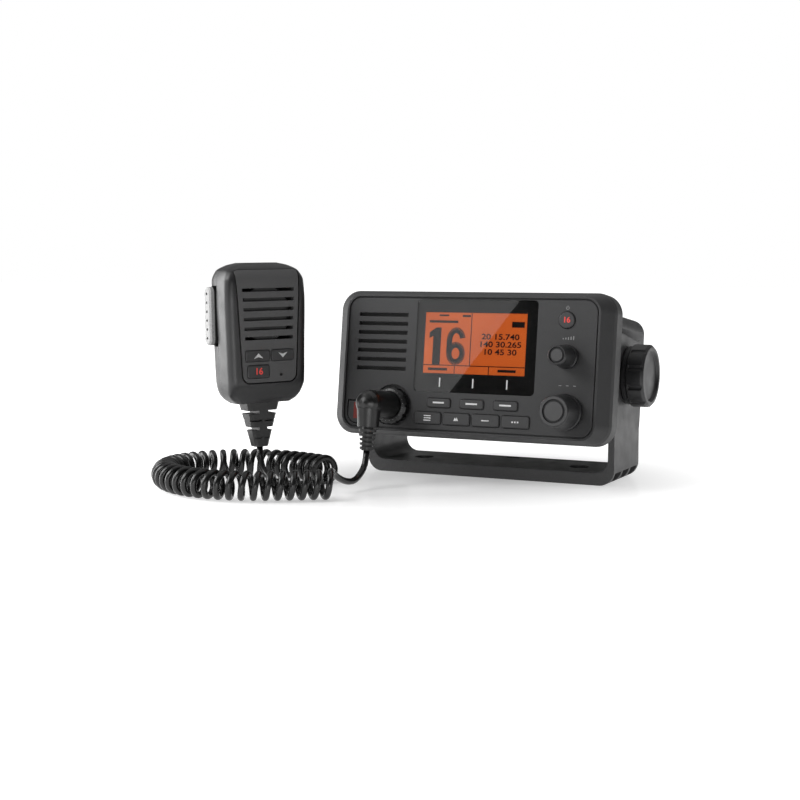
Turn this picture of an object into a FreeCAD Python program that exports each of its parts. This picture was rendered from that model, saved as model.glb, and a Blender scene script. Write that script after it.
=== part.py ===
import FreeCAD, Part
import math
import os

# All sizes are millimetres. +Z is up, +X is the radio's right, -Y is its front.
# The origin is on the table, under the middle of the bracket's base.
V = FreeCAD.Vector

# Bracket
BRACKET_W = 155.8          # over both legs
BRACKET_D = 46.4           # width of the strip, front to back
LEG_T = 3.7
LEG_TOP_FRONT = 86.0
LEG_TOP_REAR = 80.3
LEG_STEP_Y = -10.0         # where the leg's top starts to fall
LEG_STEP_END_Y = 17.0
BASE_T = 7.2
BASE_SKIN = 2.6            # the base's top skin over its hollow underside
BASE_RIB = 2.0
BASE_BAYS = 6
CORNER_R = 9.0             # outer bottom corners
INNER_CORNER_R = 8.0
CORNER_POCKETS = 3
POCKET_TOP = 9.0
HOLE_SPACING = 100.0       # mounting screws
HOLE_D = 5.2
HOLE_SINK_D = 11.6
HOLE_SINK_DEPTH = 1.4
HOLE_Y = -2.5
DRAIN_W = 9.0
DRAIN_H = 4.0

# Tilt axis and head placing
PIVOT_Z = 61.5
HEAD_TILT = 7.4            # degrees leaned back
FACE_TO_PIVOT = 53.2
STUD_D = 6.0
STUD_CLEAR = 0.1           # on the diameter, in the insert
LEG_HOLE_CLEAR = 0.6       # on the diameter, in the leg

# Tilt knobs
KNOB_D = 35.8
KNOB_T = 14.0
KNOB_GAP = 0.1             # between a leg and its knob
KNOB_GRIPS = 10
KNOB_DISH = 1.6
STUD_IN_KNOB = 8.0
WASHER_D = 30.0
WASHER_T = 1.5

# Radio head
BEZEL_W = 170.0
BEZEL_H = 84.2
BEZEL_R = 11.5
BEZEL_DEPTH = 18.0
FLANK_DEPTH = 6.6          # from the face to the widest edge
PANEL_W = 151.8
PANEL_H = 74.9
PANEL_R = 7.0
PANEL_T = 3.0
RIDGE_H = 0.6              # raised edge round the panel
RIDGE_W = 1.2
GROOVE_W = 0.8
BEZEL_WALL = 2.6
HOUSING_W = 140.0
HOUSING_H = 73.0
HOUSING_R = 9.0
HOUSING_DEPTH = 92.0       # behind the bezel, without the fins
HOUSING_WALL = 3.0
FIN_COUNT = 11
FIN_T = 3.0
FIN_L = 15.0
FIN_PITCH = 12.4
SEAL_T = 1.2
BOSS_D = 31.0
INSERT_D = 10.0
INSERT_L = 12.0

# Front of the panel: centre across, centre up from the tilt axis, width, height
SLOT_COUNT = 7
SLOT_AT = (-54.0, 27.7)
SLOT_SIZE = (31.7, 2.2)
SLOT_PITCH = 5.2
GLASS_AT = (4.5, 10.5)
GLASS_SIZE = (73.8, 53.2)
GLASS_R = 2.5
GLASS_T = 1.5
LCD_AT = (4.5, 11.8)
LCD_SIZE = (64.0, 37.0)
LCD_GAP = 0.2              # behind the glass
LCD_SEAT = 0.1             # in front of its frame
LCD_FRAME_SIZE = (72.0, 46.0)
LCD_FRAME_T = 5.6
KEY_OUT = 1.0              # how far a key stands out
KEY_IN = 4.0               # how far a key reaches in
KEY_GAP = 0.25
KEY_R = 1.4
KEY_TRAVEL = 0.8
SOFT_KEY_SIZE = (14.6, 5.2)
SOFT_KEYS = [(-15.8, -22.2), (4.6, -22.2), (25.1, -22.2)]
FUNCTION_KEY_SIZE = (16.7, 6.8)
FUNCTION_KEYS = [(-22.3, -31.0), (-4.4, -31.0), (13.5, -31.0), (31.5, -31.0)]
POWER_KEY_AT = (58.5, 26.4)
POWER_KEY_D = 9.2
VOLUME_AT = (60.0, 6.1)
VOLUME_D = (13.4, 10.8)    # at the panel, at the front
VOLUME_OUT = 17.8
SELECT_AT = (60.6, -24.2)
SELECT_D = (20.0, 17.0)
SELECT_OUT = 19.8
DIAL_GAP = 1.5             # under a dial, for its push
DIAL_PUSH = 0.6
SHAFT_D = 6.0
SHAFT_CLEAR = 0.1
BUSH_D = 9.0
ENCODER_SIZE = 12.0

# Distress door
DOOR_LEFT = -73.9
DOOR_RIGHT = -58.6
DOOR_TOP = -22.7
DOOR_BOTTOM = -35.8
DOOR_R = 5.5
DOOR_T = 1.6
DOOR_GAP = 0.3
DOOR_FINGER_GAP = 1.5      # left of and under the door
DOOR_PIN_D = 1.2
DOOR_WELL = 7.6
DISTRESS_SIZE = (9.0, 7.0)
DISTRESS_TRAVEL = 0.8

# Handset socket and its plug
SOCKET_AT = (-45.5, -24.8)
SOCKET_D = 18.0
SOCKET_WELL_D = 24.2
SOCKET_WELL_FLAT = -35.9
SOCKET_WELL_DEPTH = 1.8
RING_D = 21.4
RING_FRONT = 5.0
RING_GRIPS = 12
PLUG_D = 15.2              # barrel that leaves the socket
PLUG_ELBOW_OUT = 28.8      # the boot's axis in front of the panel
BOOT_D = 12.0
BOOT_BOTTOM = -38.2
RELIEF_BOTTOM = -51.4

# Rear sockets
ANTENNA_AT = (44.0, 12.0)
ANTENNA_D = 15.9
ANTENNA_L = 17.0
POWER_AT = (-44.0, -14.0)
DATA_AT = (0.0, -14.0)
REAR_PAD = 26.0            # square pad that carries a rear socket

# Handset, from its own bottom middle: across, out of the face, up
HANDSET_AT = (-109.5, -98.3, 46.9)
HANDSET_YAW = 60.0
HANDSET_ROLL = 0.75
HANDSET_FRONT = 14.0       # face in front of the parting plane
# height, half width, front, back, front corner, back corner
HANDSET_SECTIONS = [
    (0.0, 17.0, 8.0, 6.5, 3.0, 5.0),
    (2.5, 20.5, 10.2, 9.0, 4.0, 7.0),
    (6.5, 23.3, 12.0, 11.0, 5.0, 9.0),
    (12.5, 24.3, 14.0, 12.5, 5.0, 10.0),
    (34.0, 24.8, 14.0, 14.5, 5.0, 12.0),
    (58.0, 25.4, 14.0, 16.0, 5.0, 13.0),
    (69.0, 24.9, 13.4, 15.5, 5.0, 12.0),
    (74.5, 22.6, 11.4, 13.5, 5.0, 10.0),
    (77.6, 17.5, 8.4, 10.0, 5.0, 8.0),
    (79.0, 12.0, 5.0, 6.0, 4.0, 5.0),
]
INSERT_TOP_HALF = 19.8
INSERT_BOTTOM_HALF = 16.6
INSERT_BOTTOM = 12.2
INSERT_CORNER_R = 4.5
INSERT_GAP = 0.35
HS_SLOT_COUNT = 6
HS_SLOT_TOP = 64.0
HS_SLOT_PITCH = 5.4
HS_SLOT_H = 1.9
HS_SLOT_HALF = (16.4, 15.2)
HS_KEY_ROW = (27.2, 6.2)   # height of the row's middle, height of a key
HS_KEY_HALF = 15.3
HS_KEY_SPLIT = 0.5
HS_CHANNEL_AT = (-7.3, 18.4)
HS_CHANNEL_SIZE = (13.8, 7.2)
HS_MIC_AT = (7.3, 16.1)
HS_KEY_TRAVEL = 0.6
HS_SCREWS = [(-15.0, 8.5), (15.0, 8.5), (0.0, 73.4)]
LEVER_BOTTOM = 33.0
LEVER_TOP = 66.0
LEVER_W = 8.0
LEVER_AT = 6.5             # middle of the lever behind the parting plane
LEVER_OUT = 28.2
LEVER_IN = 19.2
LEVER_TRAVEL = 1.2
LEVER_GAP = 0.3
HS_RELIEF_L = 25.5
HS_RELIEF_TOP = (20.6, 13.0)
HS_RELIEF_TIP = (8.4, 7.6)
HS_RELIEF_CORNER = 1.5

# Cord
CORD_D = 3.6
CORD_SIDES = 4
LEAD_SIDES = 8
CURL_D = 16.5              # over the curls
CURLS = 38
# Middle line of the curls on the table, from the handset's end to the plug's
CURL_ROUTE = [(-72.0, -85.0), (-95.0, -76.0), (-118.0, -75.5), (-139.0, -86.0), (-151.5, -105.0),
              (-152.5, -127.0), (-141.0, -147.0), (-119.0, -160.0), (-94.0, -162.5), (-70.0, -153.5),
              (-43.0, -134.0)]
LAST_CURL = 0.5            # part of a turn past the whole curls, up to the hump
HANDSET_LEAD_START = 9.5   # first run, straight down from the handset's sleeve
HANDSET_LEAD_ROUTE = [(-103.6, -100.2, 4.2), (-94.0, -104.0, 1.9),
                      (-82.8, -104.5, 1.85)]
HANDSET_LEAD_END = 10.0    # last run, in line with the curls' straight end
PLUG_LEAD_START = 5.0      # first run, in line with the curls' straight end
PLUG_LEAD_ROUTE = [(-47.8, -119.5, 10.5), (-47.0, -111.0, 6.6), (-46.0, -102.5, 5.4),
                   (-45.5, -95.0, 8.8)]
PLUG_LEAD_END = 7.0        # last run, straight into the plug's sleeve


# Plain solids

def box(x0, y0, z0, x1, y1, z1):
    return Part.makeBox(x1 - x0, y1 - y0, z1 - z0, V(x0, y0, z0))


def rod(start, along, d, length):
    return Part.makeCylinder(d / 2.0, length, V(*start), V(*along))


def cone(start, along, d0, d1, length):
    return Part.makeCone(d0 / 2.0, d1 / 2.0, length, V(*start), V(*along))


def rounded_wire(corners, place):
    """Closed outline through (x, z, radius) corners; place turns x, z into a point."""
    edges = []
    joints = []
    n = len(corners)
    for i, (x, z, r) in enumerate(corners):
        here = V(x, z, 0)
        before = V(corners[i - 1][0], corners[i - 1][1], 0)
        after = V(corners[(i + 1) % n][0], corners[(i + 1) % n][1], 0)
        inward = (before - here).normalize()
        outward = (after - here).normalize()
        half = inward.getAngle(outward) / 2.0
        if r <= 0:
            joints.append((here, None, here))
            continue
        back = r / math.tan(half)
        centre_way = (inward + outward).normalize()
        middle = here + centre_way * (r / math.sin(half) - r)
        joints.append((here + inward * back, middle, here + outward * back))
    for i, (start, middle, end) in enumerate(joints):
        a, b = place(start.x, start.y), place(end.x, end.y)
        if middle is not None:
            edges.append(Part.Arc(a, place(middle.x, middle.y), b).toShape())
        c = place(joints[(i + 1) % n][0].x, joints[(i + 1) % n][0].y)
        if (c - b).Length > 1e-6:
            edges.append(Part.LineSegment(b, c).toShape())
    return Part.Wire(edges)


def rectangle(at, size, r):
    x, z = at
    w, h = size[0] / 2.0, size[1] / 2.0
    return [(x - w, z - h, r), (x + w, z - h, r), (x + w, z + h, r), (x - w, z + h, r)]


def plate(corners, y0, y1):
    """Flat piece with an outline in X and Z, from y0 back to y1."""
    wire = rounded_wire(corners, lambda x, z: V(x, y0, z))
    return Part.Face(wire).extrude(V(0, y1 - y0, 0))


def skin(sections):
    """Solid through (y, corners) sections joined by straight walls."""
    wires = [rounded_wire(corners, lambda x, z, y=y: V(x, y, z)) for y, corners in sections]
    return Part.makeLoft(wires, True, True)


def turned(profile, start, along):
    """Body of revolution from (radius, distance) points, on an axis along the given way."""
    points = [V(r, 0, h) for r, h in profile]
    face = Part.Face(Part.makePolygon(points + [points[0]]))
    body = face.revolve(V(0, 0, 0), V(0, 0, 1), 360)
    body.Placement = FreeCAD.Placement(V(*start), FreeCAD.Rotation(V(0, 0, 1), V(*along)))
    return body


def fused(first, *others):
    return first.fuse(list(others)).removeSplitter()


def group(solids):
    return Part.makeCompound(solids)


def moved(shape, placement):
    out = shape.copy()
    out.Placement = placement.multiply(out.Placement)
    return out


def save(name, shape):
    shape.exportStep("parts/%s.step" % name)


HEAD = FreeCAD.Placement(V(0, 0, PIVOT_Z), FreeCAD.Rotation(V(1, 0, 0), -HEAD_TILT))
HANDSET = FreeCAD.Placement(
    V(*HANDSET_AT),
    FreeCAD.Rotation(V(0, 0, 1), HANDSET_YAW).multiply(FreeCAD.Rotation(V(0, 1, 0), -HANDSET_ROLL)))
# Depths in the head are counted from the panel's front
FACE_Y = -FACE_TO_PIVOT


def deep(d):
    return FACE_Y + d


# Bracket, its washers and its knobs

def bracket():
    half = BRACKET_W / 2.0
    inner = half - LEG_T
    top = LEG_TOP_FRONT
    outline = [(-half, 0, CORNER_R), (half, 0, CORNER_R), (half, top, 0), (inner, top, 0),
               (inner, BASE_T, INNER_CORNER_R), (-inner, BASE_T, INNER_CORNER_R),
               (-inner, top, 0), (-half, top, 0)]
    body = plate(outline, -BRACKET_D / 2.0, BRACKET_D / 2.0)
    body = body.cut(leg_top_cut())
    body = body.cut(base_pockets(inner, (-BRACKET_D / 2.0 + BASE_RIB, BRACKET_D / 2.0 - BASE_RIB)))
    for side in (-1, 1):
        body = body.cut(corner_pockets(side, half))
        hole = (side * HOLE_SPACING / 2.0, HOLE_Y)
        pad = rod((hole[0], hole[1], 0), (0, 0, 1), HOLE_SINK_D + 2 * BASE_RIB, BASE_T - BASE_SKIN)
        body = body.fuse(pad)
        body = body.cut(rod((hole[0], hole[1], -1), (0, 0, 1), HOLE_D, BASE_T + 2))
        sink = (hole[0], hole[1], BASE_T - HOLE_SINK_DEPTH)
        body = body.cut(rod(sink, (0, 0, 1), HOLE_SINK_D, HOLE_SINK_DEPTH + 1))
    bore = rod((-half - 1, 0, PIVOT_Z), (1, 0, 0), STUD_D + LEG_HOLE_CLEAR, BRACKET_W + 2)
    drain = box(-DRAIN_W / 2.0, BRACKET_D / 2.0 - DRAIN_H - 3.0, -1,
                DRAIN_W / 2.0, BRACKET_D / 2.0 - 3.0, BASE_T + 1)
    return body.cut(bore).cut(drain).removeSplitter()


def leg_top_cut():
    """What lies above the legs' sloping top, seen from the side."""
    far = BRACKET_W
    low = LEG_TOP_REAR
    points = [V(-far, LEG_STEP_Y, LEG_TOP_FRONT), V(-far, LEG_STEP_END_Y, low),
              V(-far, BRACKET_D, low), V(-far, BRACKET_D, LEG_TOP_FRONT + 1),
              V(-far, LEG_STEP_Y, LEG_TOP_FRONT + 1)]
    return Part.Face(Part.makePolygon(points + [points[0]])).extrude(V(2 * far, 0, 0))


def base_pockets(inner, depth):
    """Hollow underside of the base, in bays between ribs."""
    first = -(inner - INNER_CORNER_R)
    bay = -2.0 * first / BASE_BAYS
    cuts = []
    for i in range(BASE_BAYS):
        x0 = first + i * bay + BASE_RIB / 2.0
        cuts.append(box(x0, depth[0], -1, x0 + bay - BASE_RIB, depth[1], BASE_T - BASE_SKIN))
    return group(cuts)


def corner_pockets(side, half):
    """Dark recesses between ribs, in the rounded outer corner."""
    rib = BASE_RIB * 1.5
    width = (BRACKET_D - (CORNER_POCKETS + 1) * rib) / CORNER_POCKETS
    cuts = []
    for i in range(CORNER_POCKETS):
        y0 = -BRACKET_D / 2.0 + rib + i * (width + rib)
        x0, x1 = half - LEG_T - 1.2, half + 1.0
        if side < 0:
            x0, x1 = -x1, -x0
        cuts.append(box(x0, y0, -1, x1, y0 + width, POCKET_TOP - 2.0))
    return group(cuts)


def tilt_knob(side):
    """Knob with a dished end, a raised rim and grip hollows round its side."""
    r = KNOB_D / 2.0
    profile = [(0, 0), (r - 2.2, 0), (r - 1.2, 1.0), (r - 1.2, 3.4), (r, 4.2),
               (r, KNOB_T - 1.4), (r - 1.4, KNOB_T), (r - 3.2, KNOB_T),
               (r - 4.4, KNOB_T - KNOB_DISH), (0, KNOB_T - KNOB_DISH)]
    start = (side * (BRACKET_W / 2.0 + KNOB_GAP), 0, PIVOT_Z)
    knob = turned(profile, start, (side, 0, 0))
    grips = []
    for i in range(KNOB_GRIPS):
        a = 2.0 * math.pi * (i + 0.5) / KNOB_GRIPS
        y, z = (r + 1.1) * math.cos(a), (r + 1.1) * math.sin(a)
        grips.append(rod((start[0] + side * 5.0, y, PIVOT_Z + z), (side, 0, 0), 4.0, KNOB_T))
    knob = knob.cut(grips)
    socket = rod((start[0] - side, 0, PIVOT_Z), (side, 0, 0), STUD_D, STUD_IN_KNOB + 1)
    return knob.cut(socket)


def stud(side):
    """Threaded stud from inside the knob through the leg and washer into the insert."""
    outer = BRACKET_W / 2.0 + KNOB_GAP + STUD_IN_KNOB
    inner = HOUSING_W / 2.0 - INSERT_L + 3.0
    length = outer - inner
    return turned([(0, 0), (STUD_D / 2.0 - 0.6, 0), (STUD_D / 2.0, 0.6), (STUD_D / 2.0, length),
                   (0, length)], (side * inner, 0, PIVOT_Z), (side, 0, 0))


def washer(side):
    inner = BRACKET_W / 2.0 - LEG_T - WASHER_T
    ring = rod((side * inner, 0, PIVOT_Z), (side, 0, 0), WASHER_D, WASHER_T)
    return ring.cut(rod((side * (inner - 1), 0, PIVOT_Z), (side, 0, 0), STUD_D + 1.0, WASHER_T + 2))


# Radio head

def grown(at, size, r, extra):
    return rectangle(at, (size[0] + 2 * extra, size[1] + 2 * extra), r + extra)


def front_bezel():
    middle = (0, 0)
    lip = grown(middle, (PANEL_W, PANEL_H), PANEL_R, GROOVE_W + RIDGE_W)
    rim = rectangle(middle, (BEZEL_W, BEZEL_H), BEZEL_R)
    shoulder = grown(middle, (BEZEL_W, BEZEL_H), BEZEL_R, -1.0)
    rear = grown(middle, (BEZEL_W, BEZEL_H), BEZEL_R, -1.8)
    body = skin([(deep(-RIDGE_H), lip), (deep(FLANK_DEPTH - 2.0), shoulder),
                 (deep(FLANK_DEPTH), rim), (deep(BEZEL_DEPTH - 2.5), rim),
                 (deep(BEZEL_DEPTH), rear)])
    body = body.cut(plate(grown(middle, (PANEL_W, PANEL_H), PANEL_R, GROOVE_W),
                          deep(-RIDGE_H - 1), deep(0)))
    groove = plate(grown(middle, (PANEL_W, PANEL_H), PANEL_R, GROOVE_W), deep(-1), deep(0.9))
    body = body.cut(groove.cut(plate(grown(middle, (PANEL_W, PANEL_H), PANEL_R, 0),
                                     deep(-2), deep(2))))
    cavity = skin([(deep(PANEL_T), grown(middle, (PANEL_W, PANEL_H), PANEL_R, 0.6)),
                   (deep(FLANK_DEPTH), grown(middle, (BEZEL_W, BEZEL_H), BEZEL_R, -BEZEL_WALL)),
                   (deep(BEZEL_DEPTH + 1), grown(middle, (BEZEL_W, BEZEL_H), BEZEL_R, -BEZEL_WALL))])
    body = body.cut(cavity)
    rim_in = box(-BEZEL_W, deep(BEZEL_DEPTH - HOUSING_WALL), -BEZEL_H, BEZEL_W, deep(BEZEL_DEPTH), BEZEL_H)
    closing = skin([(deep(BEZEL_DEPTH - 3.0), grown(middle, (BEZEL_W, BEZEL_H), BEZEL_R, -2.0)),
                    (deep(BEZEL_DEPTH), grown(middle, (BEZEL_W, BEZEL_H), BEZEL_R, -2.4))])
    opening = plate(grown(middle, (HOUSING_W, HOUSING_H), HOUSING_R, -HOUSING_WALL),
                    deep(0), deep(BEZEL_DEPTH + 1))
    body = body.fuse(closing.common(rim_in).cut(opening))
    body = body.cut(group(panel_holes()))
    well = distress_well()
    body = body.fuse(well[0]).cut(well[1])
    return body.removeSplitter()


def panel_holes():
    """Slots, window, key holes, dial bushes and the socket's well."""
    through = (deep(-1), deep(PANEL_T + 1))
    cuts = []
    for i in range(SLOT_COUNT):
        at = (SLOT_AT[0], SLOT_AT[1] - i * SLOT_PITCH)
        cuts.append(plate(rectangle(at, SLOT_SIZE, 0), *through))
    cuts.append(plate(rectangle(GLASS_AT, GLASS_SIZE, GLASS_R), deep(-1), deep(GLASS_T + 0.1)))
    cuts.append(plate(grown(LCD_AT, LCD_SIZE, 0.6, KEY_GAP), *through))
    for at in SOFT_KEYS:
        cuts.append(plate(grown(at, SOFT_KEY_SIZE, KEY_R, KEY_GAP), *through))
    for at in FUNCTION_KEYS:
        cuts.append(plate(grown(at, FUNCTION_KEY_SIZE, KEY_R, KEY_GAP), *through))
    x, z = POWER_KEY_AT
    cuts.append(rod((x, deep(-1), z), (0, 1, 0), POWER_KEY_D + 2 * KEY_GAP, PANEL_T + 2))
    for x, z in (VOLUME_AT, SELECT_AT):
        cuts.append(rod((x, deep(-1), z), (0, 1, 0), BUSH_D, PANEL_T + 2))
    x, z = SOCKET_AT
    well = rod((x, deep(-1), z), (0, 1, 0), SOCKET_WELL_D, SOCKET_WELL_DEPTH + 1)
    cuts.append(well.common(box(x - 20, deep(-2), SOCKET_WELL_FLAT, x + 20, deep(5), z + 20)))
    cuts.append(rod((x, deep(-1), z), (0, 1, 0), SOCKET_D, PANEL_T + 2))
    return cuts


def door_outline(extra):
    """The door's outline, or its opening's with the finger gap left and below."""
    gap = DOOR_FINGER_GAP if extra else 0.0
    side = DOOR_GAP if extra else 0.0
    return [(DOOR_LEFT - gap * 0.55, DOOR_BOTTOM - gap * 0.5, DOOR_R + gap),
            (DOOR_RIGHT + side, DOOR_BOTTOM - gap * 0.5, 0.5),
            (DOOR_RIGHT + side, DOOR_TOP + side, 0.5), (DOOR_LEFT - gap * 0.55, DOOR_TOP + side, 0.5)]


def distress_well():
    """Walls of the well behind the door, and its hollow."""
    hollow = plate(door_outline(True), deep(-1), deep(DOOR_WELL))
    wall = plate([(DOOR_LEFT - 1.6, DOOR_BOTTOM - 1.6, DOOR_R), (DOOR_RIGHT + 1.2, DOOR_BOTTOM - 1.6, 0.5),
                  (DOOR_RIGHT + 1.2, DOOR_TOP + 1.2, 0.5), (DOOR_LEFT - 1.6, DOOR_TOP + 1.2, 0.5)],
                 deep(PANEL_T), deep(DOOR_WELL + 1.2))
    at = door_middle()
    hole = plate(grown(at, DISTRESS_SIZE, 1.0, KEY_GAP), deep(0), deep(DOOR_WELL + 3))
    return wall, group([hollow, hole])


def door_middle():
    return ((DOOR_LEFT + DOOR_RIGHT) / 2.0, (DOOR_TOP + DOOR_BOTTOM) / 2.0)


def distress_door():
    """Flap that hangs from a round barrel along its top edge."""
    flap = plate(door_outline(False), deep(0), deep(DOOR_T))
    pin_z = DOOR_TOP - DOOR_PIN_D
    flap = flap.common(box(DOOR_LEFT - 1, deep(-1), DOOR_BOTTOM - 1, DOOR_RIGHT + 1, deep(9), pin_z))
    barrel = rod((DOOR_LEFT, deep(DOOR_PIN_D), pin_z), (1, 0, 0), 2 * DOOR_PIN_D, DOOR_RIGHT - DOOR_LEFT)
    return fused(flap, barrel)


def distress_button():
    at = door_middle()
    cap = plate(rectangle(at, DISTRESS_SIZE, 1.0), deep(4.2), deep(DOOR_WELL + 1.0))
    return fused(cap, plate(rectangle(at, (DISTRESS_SIZE[0] - 2, DISTRESS_SIZE[1] - 2), 0.6),
                            deep(3.7), deep(4.2)))


def rear_housing():
    """Die-cast box: walls, side bosses, upright fins and pads for the rear sockets."""
    start, end = BEZEL_DEPTH, BEZEL_DEPTH + HOUSING_DEPTH
    outer = grown((0, 0), (HOUSING_W, HOUSING_H), HOUSING_R, 0)
    small = grown((0, 0), (HOUSING_W, HOUSING_H), HOUSING_R, -2.0)
    body = skin([(deep(start + SEAL_T), outer), (deep(end - 3.0), outer), (deep(end), small)])
    body = body.fuse(fins(end))
    for side in (-1, 1):
        start_x = side * (HOUSING_W / 2.0 - HOUSING_WALL)
        length = BRACKET_W / 2.0 - LEG_T - WASHER_T - abs(start_x)
        body = body.fuse(rod((start_x, 0, 0), (side, 0, 0), BOSS_D, length))
    body = body.cut(plate(grown((0, 0), (HOUSING_W, HOUSING_H), HOUSING_R, -HOUSING_WALL),
                          deep(start), deep(end - HOUSING_WALL)))
    for side in (-1, 1):
        inside = side * (HOUSING_W / 2.0 - INSERT_L)
        bush = rod((inside, 0, 0), (side, 0, 0), INSERT_D + 5.0, INSERT_L - 1.0)
        body = body.fuse(bush)
        hole = rod((inside - side, 0, 0), (side, 0, 0), INSERT_D, BRACKET_W / 2.0 - abs(inside))
        body = body.cut(hole)
    for (x, z), d in ((ANTENNA_AT, ANTENNA_D), (POWER_AT, 16.0), (DATA_AT, 14.0)):
        body = body.cut(rod((x, deep(end - 8), z), (0, 1, 0), d, 12))
    for x, z in screw_places():
        post = rod((x, deep(start + SEAL_T), z), (0, 1, 0), 7.0, HOUSING_DEPTH - 4)
        body = body.fuse(post.cut(rod((x, deep(0), z), (0, 1, 0), 3.1, HOUSING_DEPTH + 40)))
        body = body.cut(rod((x, deep(0), z), (0, 1, 0), 3.1, HOUSING_DEPTH + 40))
    return body.removeSplitter()


def fins(end):
    """Upright fins, with clear square pads where the rear sockets stand."""
    solids = []
    for i in range(FIN_COUNT):
        x = (i - (FIN_COUNT - 1) / 2.0) * FIN_PITCH
        h = HOUSING_H / 2.0 - 3.0
        solids.append(box(x - FIN_T / 2.0, deep(end - 1.0), -h, x + FIN_T / 2.0, deep(end + FIN_L), h))
    comb = group(solids)
    for x, z in screw_places():
        comb = comb.cut(rod((x, deep(end), z), (0, 1, 0), 9.0, FIN_L + 1))
    for x, z in (ANTENNA_AT, POWER_AT, DATA_AT):
        half = REAR_PAD / 2.0
        comb = comb.cut(box(x - half, deep(end), z - half, x + half, deep(end + FIN_L + 1), z + half))
    return comb


def screw_places():
    x, z = HOUSING_W / 2.0 - 8.0, HOUSING_H / 2.0 - 8.0
    return [(-x, -z), (x, -z), (x, z), (-x, z)]


def housing_screws():
    screws = []
    end = BEZEL_DEPTH + HOUSING_DEPTH
    for x, z in screw_places():
        head = rod((x, deep(end), z), (0, 1, 0), 6.0, 2.4)
        shank = rod((x, deep(end - 30), z), (0, 1, 0), 3.0, 30)
        screws.append(head.fuse(shank))
    return group(screws)


def case_seal():
    outer = plate(grown((0, 0), (HOUSING_W, HOUSING_H), HOUSING_R, -0.4),
                  deep(BEZEL_DEPTH), deep(BEZEL_DEPTH + SEAL_T))
    return outer.cut(plate(grown((0, 0), (HOUSING_W, HOUSING_H), HOUSING_R, -HOUSING_WALL),
                           deep(BEZEL_DEPTH - 1), deep(BEZEL_DEPTH + SEAL_T + 1)))


def side_inserts():
    made = []
    for side in (-1, 1):
        outer = BRACKET_W / 2.0 - LEG_T - WASHER_T - 0.2
        inner = HOUSING_W / 2.0 - INSERT_L
        body = rod((side * inner, 0, 0), (side, 0, 0), INSERT_D, outer - inner)
        made.append(body.cut(rod((side * (inner + 1.5), 0, 0), (side, 0, 0), STUD_D + STUD_CLEAR, 30)))
    return group(made)


def key(at, size):
    """Key cap with a slightly drawn-in crown."""
    return skin([(deep(-KEY_OUT), grown(at, size, KEY_R, -0.5)), (deep(-KEY_OUT + 0.5), rectangle(at, size, KEY_R)),
                 (deep(KEY_IN), rectangle(at, size, KEY_R))])


def power_key():
    x, z = POWER_KEY_AT
    r = POWER_KEY_D / 2.0
    length = KEY_OUT + KEY_IN
    return turned([(0, 0), (r - 0.5, 0), (r, 0.5), (r, length), (0, length)],
                  (x, deep(-KEY_OUT), z), (0, 1, 0))


def keypad_mat():
    y0, y1 = deep(KEY_IN + KEY_TRAVEL + 0.2), deep(PANEL_T + 0.2 + LCD_FRAME_T + 0.3)
    left, right = FUNCTION_KEYS[0][0] - 9.5, FUNCTION_KEYS[-1][0] + 9.5
    main = plate([(left, -36.2, 1), (right, -36.2, 1), (right, -18.6, 1), (left, -18.6, 1)], y0, y1)
    x, z = POWER_KEY_AT
    return group([main, rod((x, y0, z), (0, 1, 0), POWER_KEY_D + 3.0, y1 - y0)])


def board_front():
    return deep(PANEL_T + 0.2 + LCD_FRAME_T + 0.4)


def dial(at, d, out):
    """Turned dial: waisted skirt, front ring, sunk groove and centre cap."""
    r0, r1 = d[0] / 2.0, d[1] / 2.0
    length = out - DIAL_GAP
    cap = r1 * 0.62
    bore = (SHAFT_D + SHAFT_CLEAR) / 2.0
    profile = [(bore, 0), (r0, 0), (r0, 2.4), (r0 - 0.5, 3.0), (r1, length - 0.6),
               (r1 - 0.6, length), (cap + 1.2, length), (cap + 0.8, length - 0.9), (cap, length - 0.9),
               (cap, length - 0.2), (0, length - 0.2), (0, length - 3.9), (bore, length - 3.9)]
    return turned(profile, (at[0], deep(-DIAL_GAP), at[1]), (0, -1, 0))


def dial_shaft(at, out):
    """Shaft from inside the dial back into its encoder, turned with a stop collar."""
    front, back = -(out - 4.0), PANEL_T + 2.2
    return rod((at[0], deep(front), at[1]), (0, 1, 0), SHAFT_D, back - front)


def encoder(at):
    """Square switch body on the front board with its threaded bush in the panel."""
    x, z = at
    half = ENCODER_SIZE / 2.0
    body = box(x - half, deep(PANEL_T + 0.2), z - half, x + half, board_front() - 0.0, z + half)
    body = body.fuse(rod((x, deep(-0.2), z), (0, 1, 0), BUSH_D - 0.2, PANEL_T + 1))
    return body.cut(rod((x, deep(-2), z), (0, 1, 0), SHAFT_D + SHAFT_CLEAR, PANEL_T + 5.4))


def speaker():
    """Round speaker behind the slots: basket, magnet and sunk cone in one."""
    x, z = SLOT_AT[0], SLOT_AT[1] - 3 * SLOT_PITCH
    start = (x, deep(PANEL_T + 0.9), z)
    return turned([(15.0, 0), (17.5, 0), (17.5, 2.0), (9.0, 9.0), (9.0, 15.5), (0, 15.5),
                   (0, 6.4), (5.0, 5.4), (14.0, 1.2)], start, (0, 1, 0))


def slot_membrane():
    z = SLOT_AT[1] - 3 * SLOT_PITCH
    return plate(rectangle((SLOT_AT[0], z), (34.6, 36.0), 2.0), deep(PANEL_T), deep(PANEL_T + 0.6))


def front_board():
    y = board_front()
    return plate(rectangle((18.5, 0.0), (100.0, 66.0), 2.0), y, y + 1.6)


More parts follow.
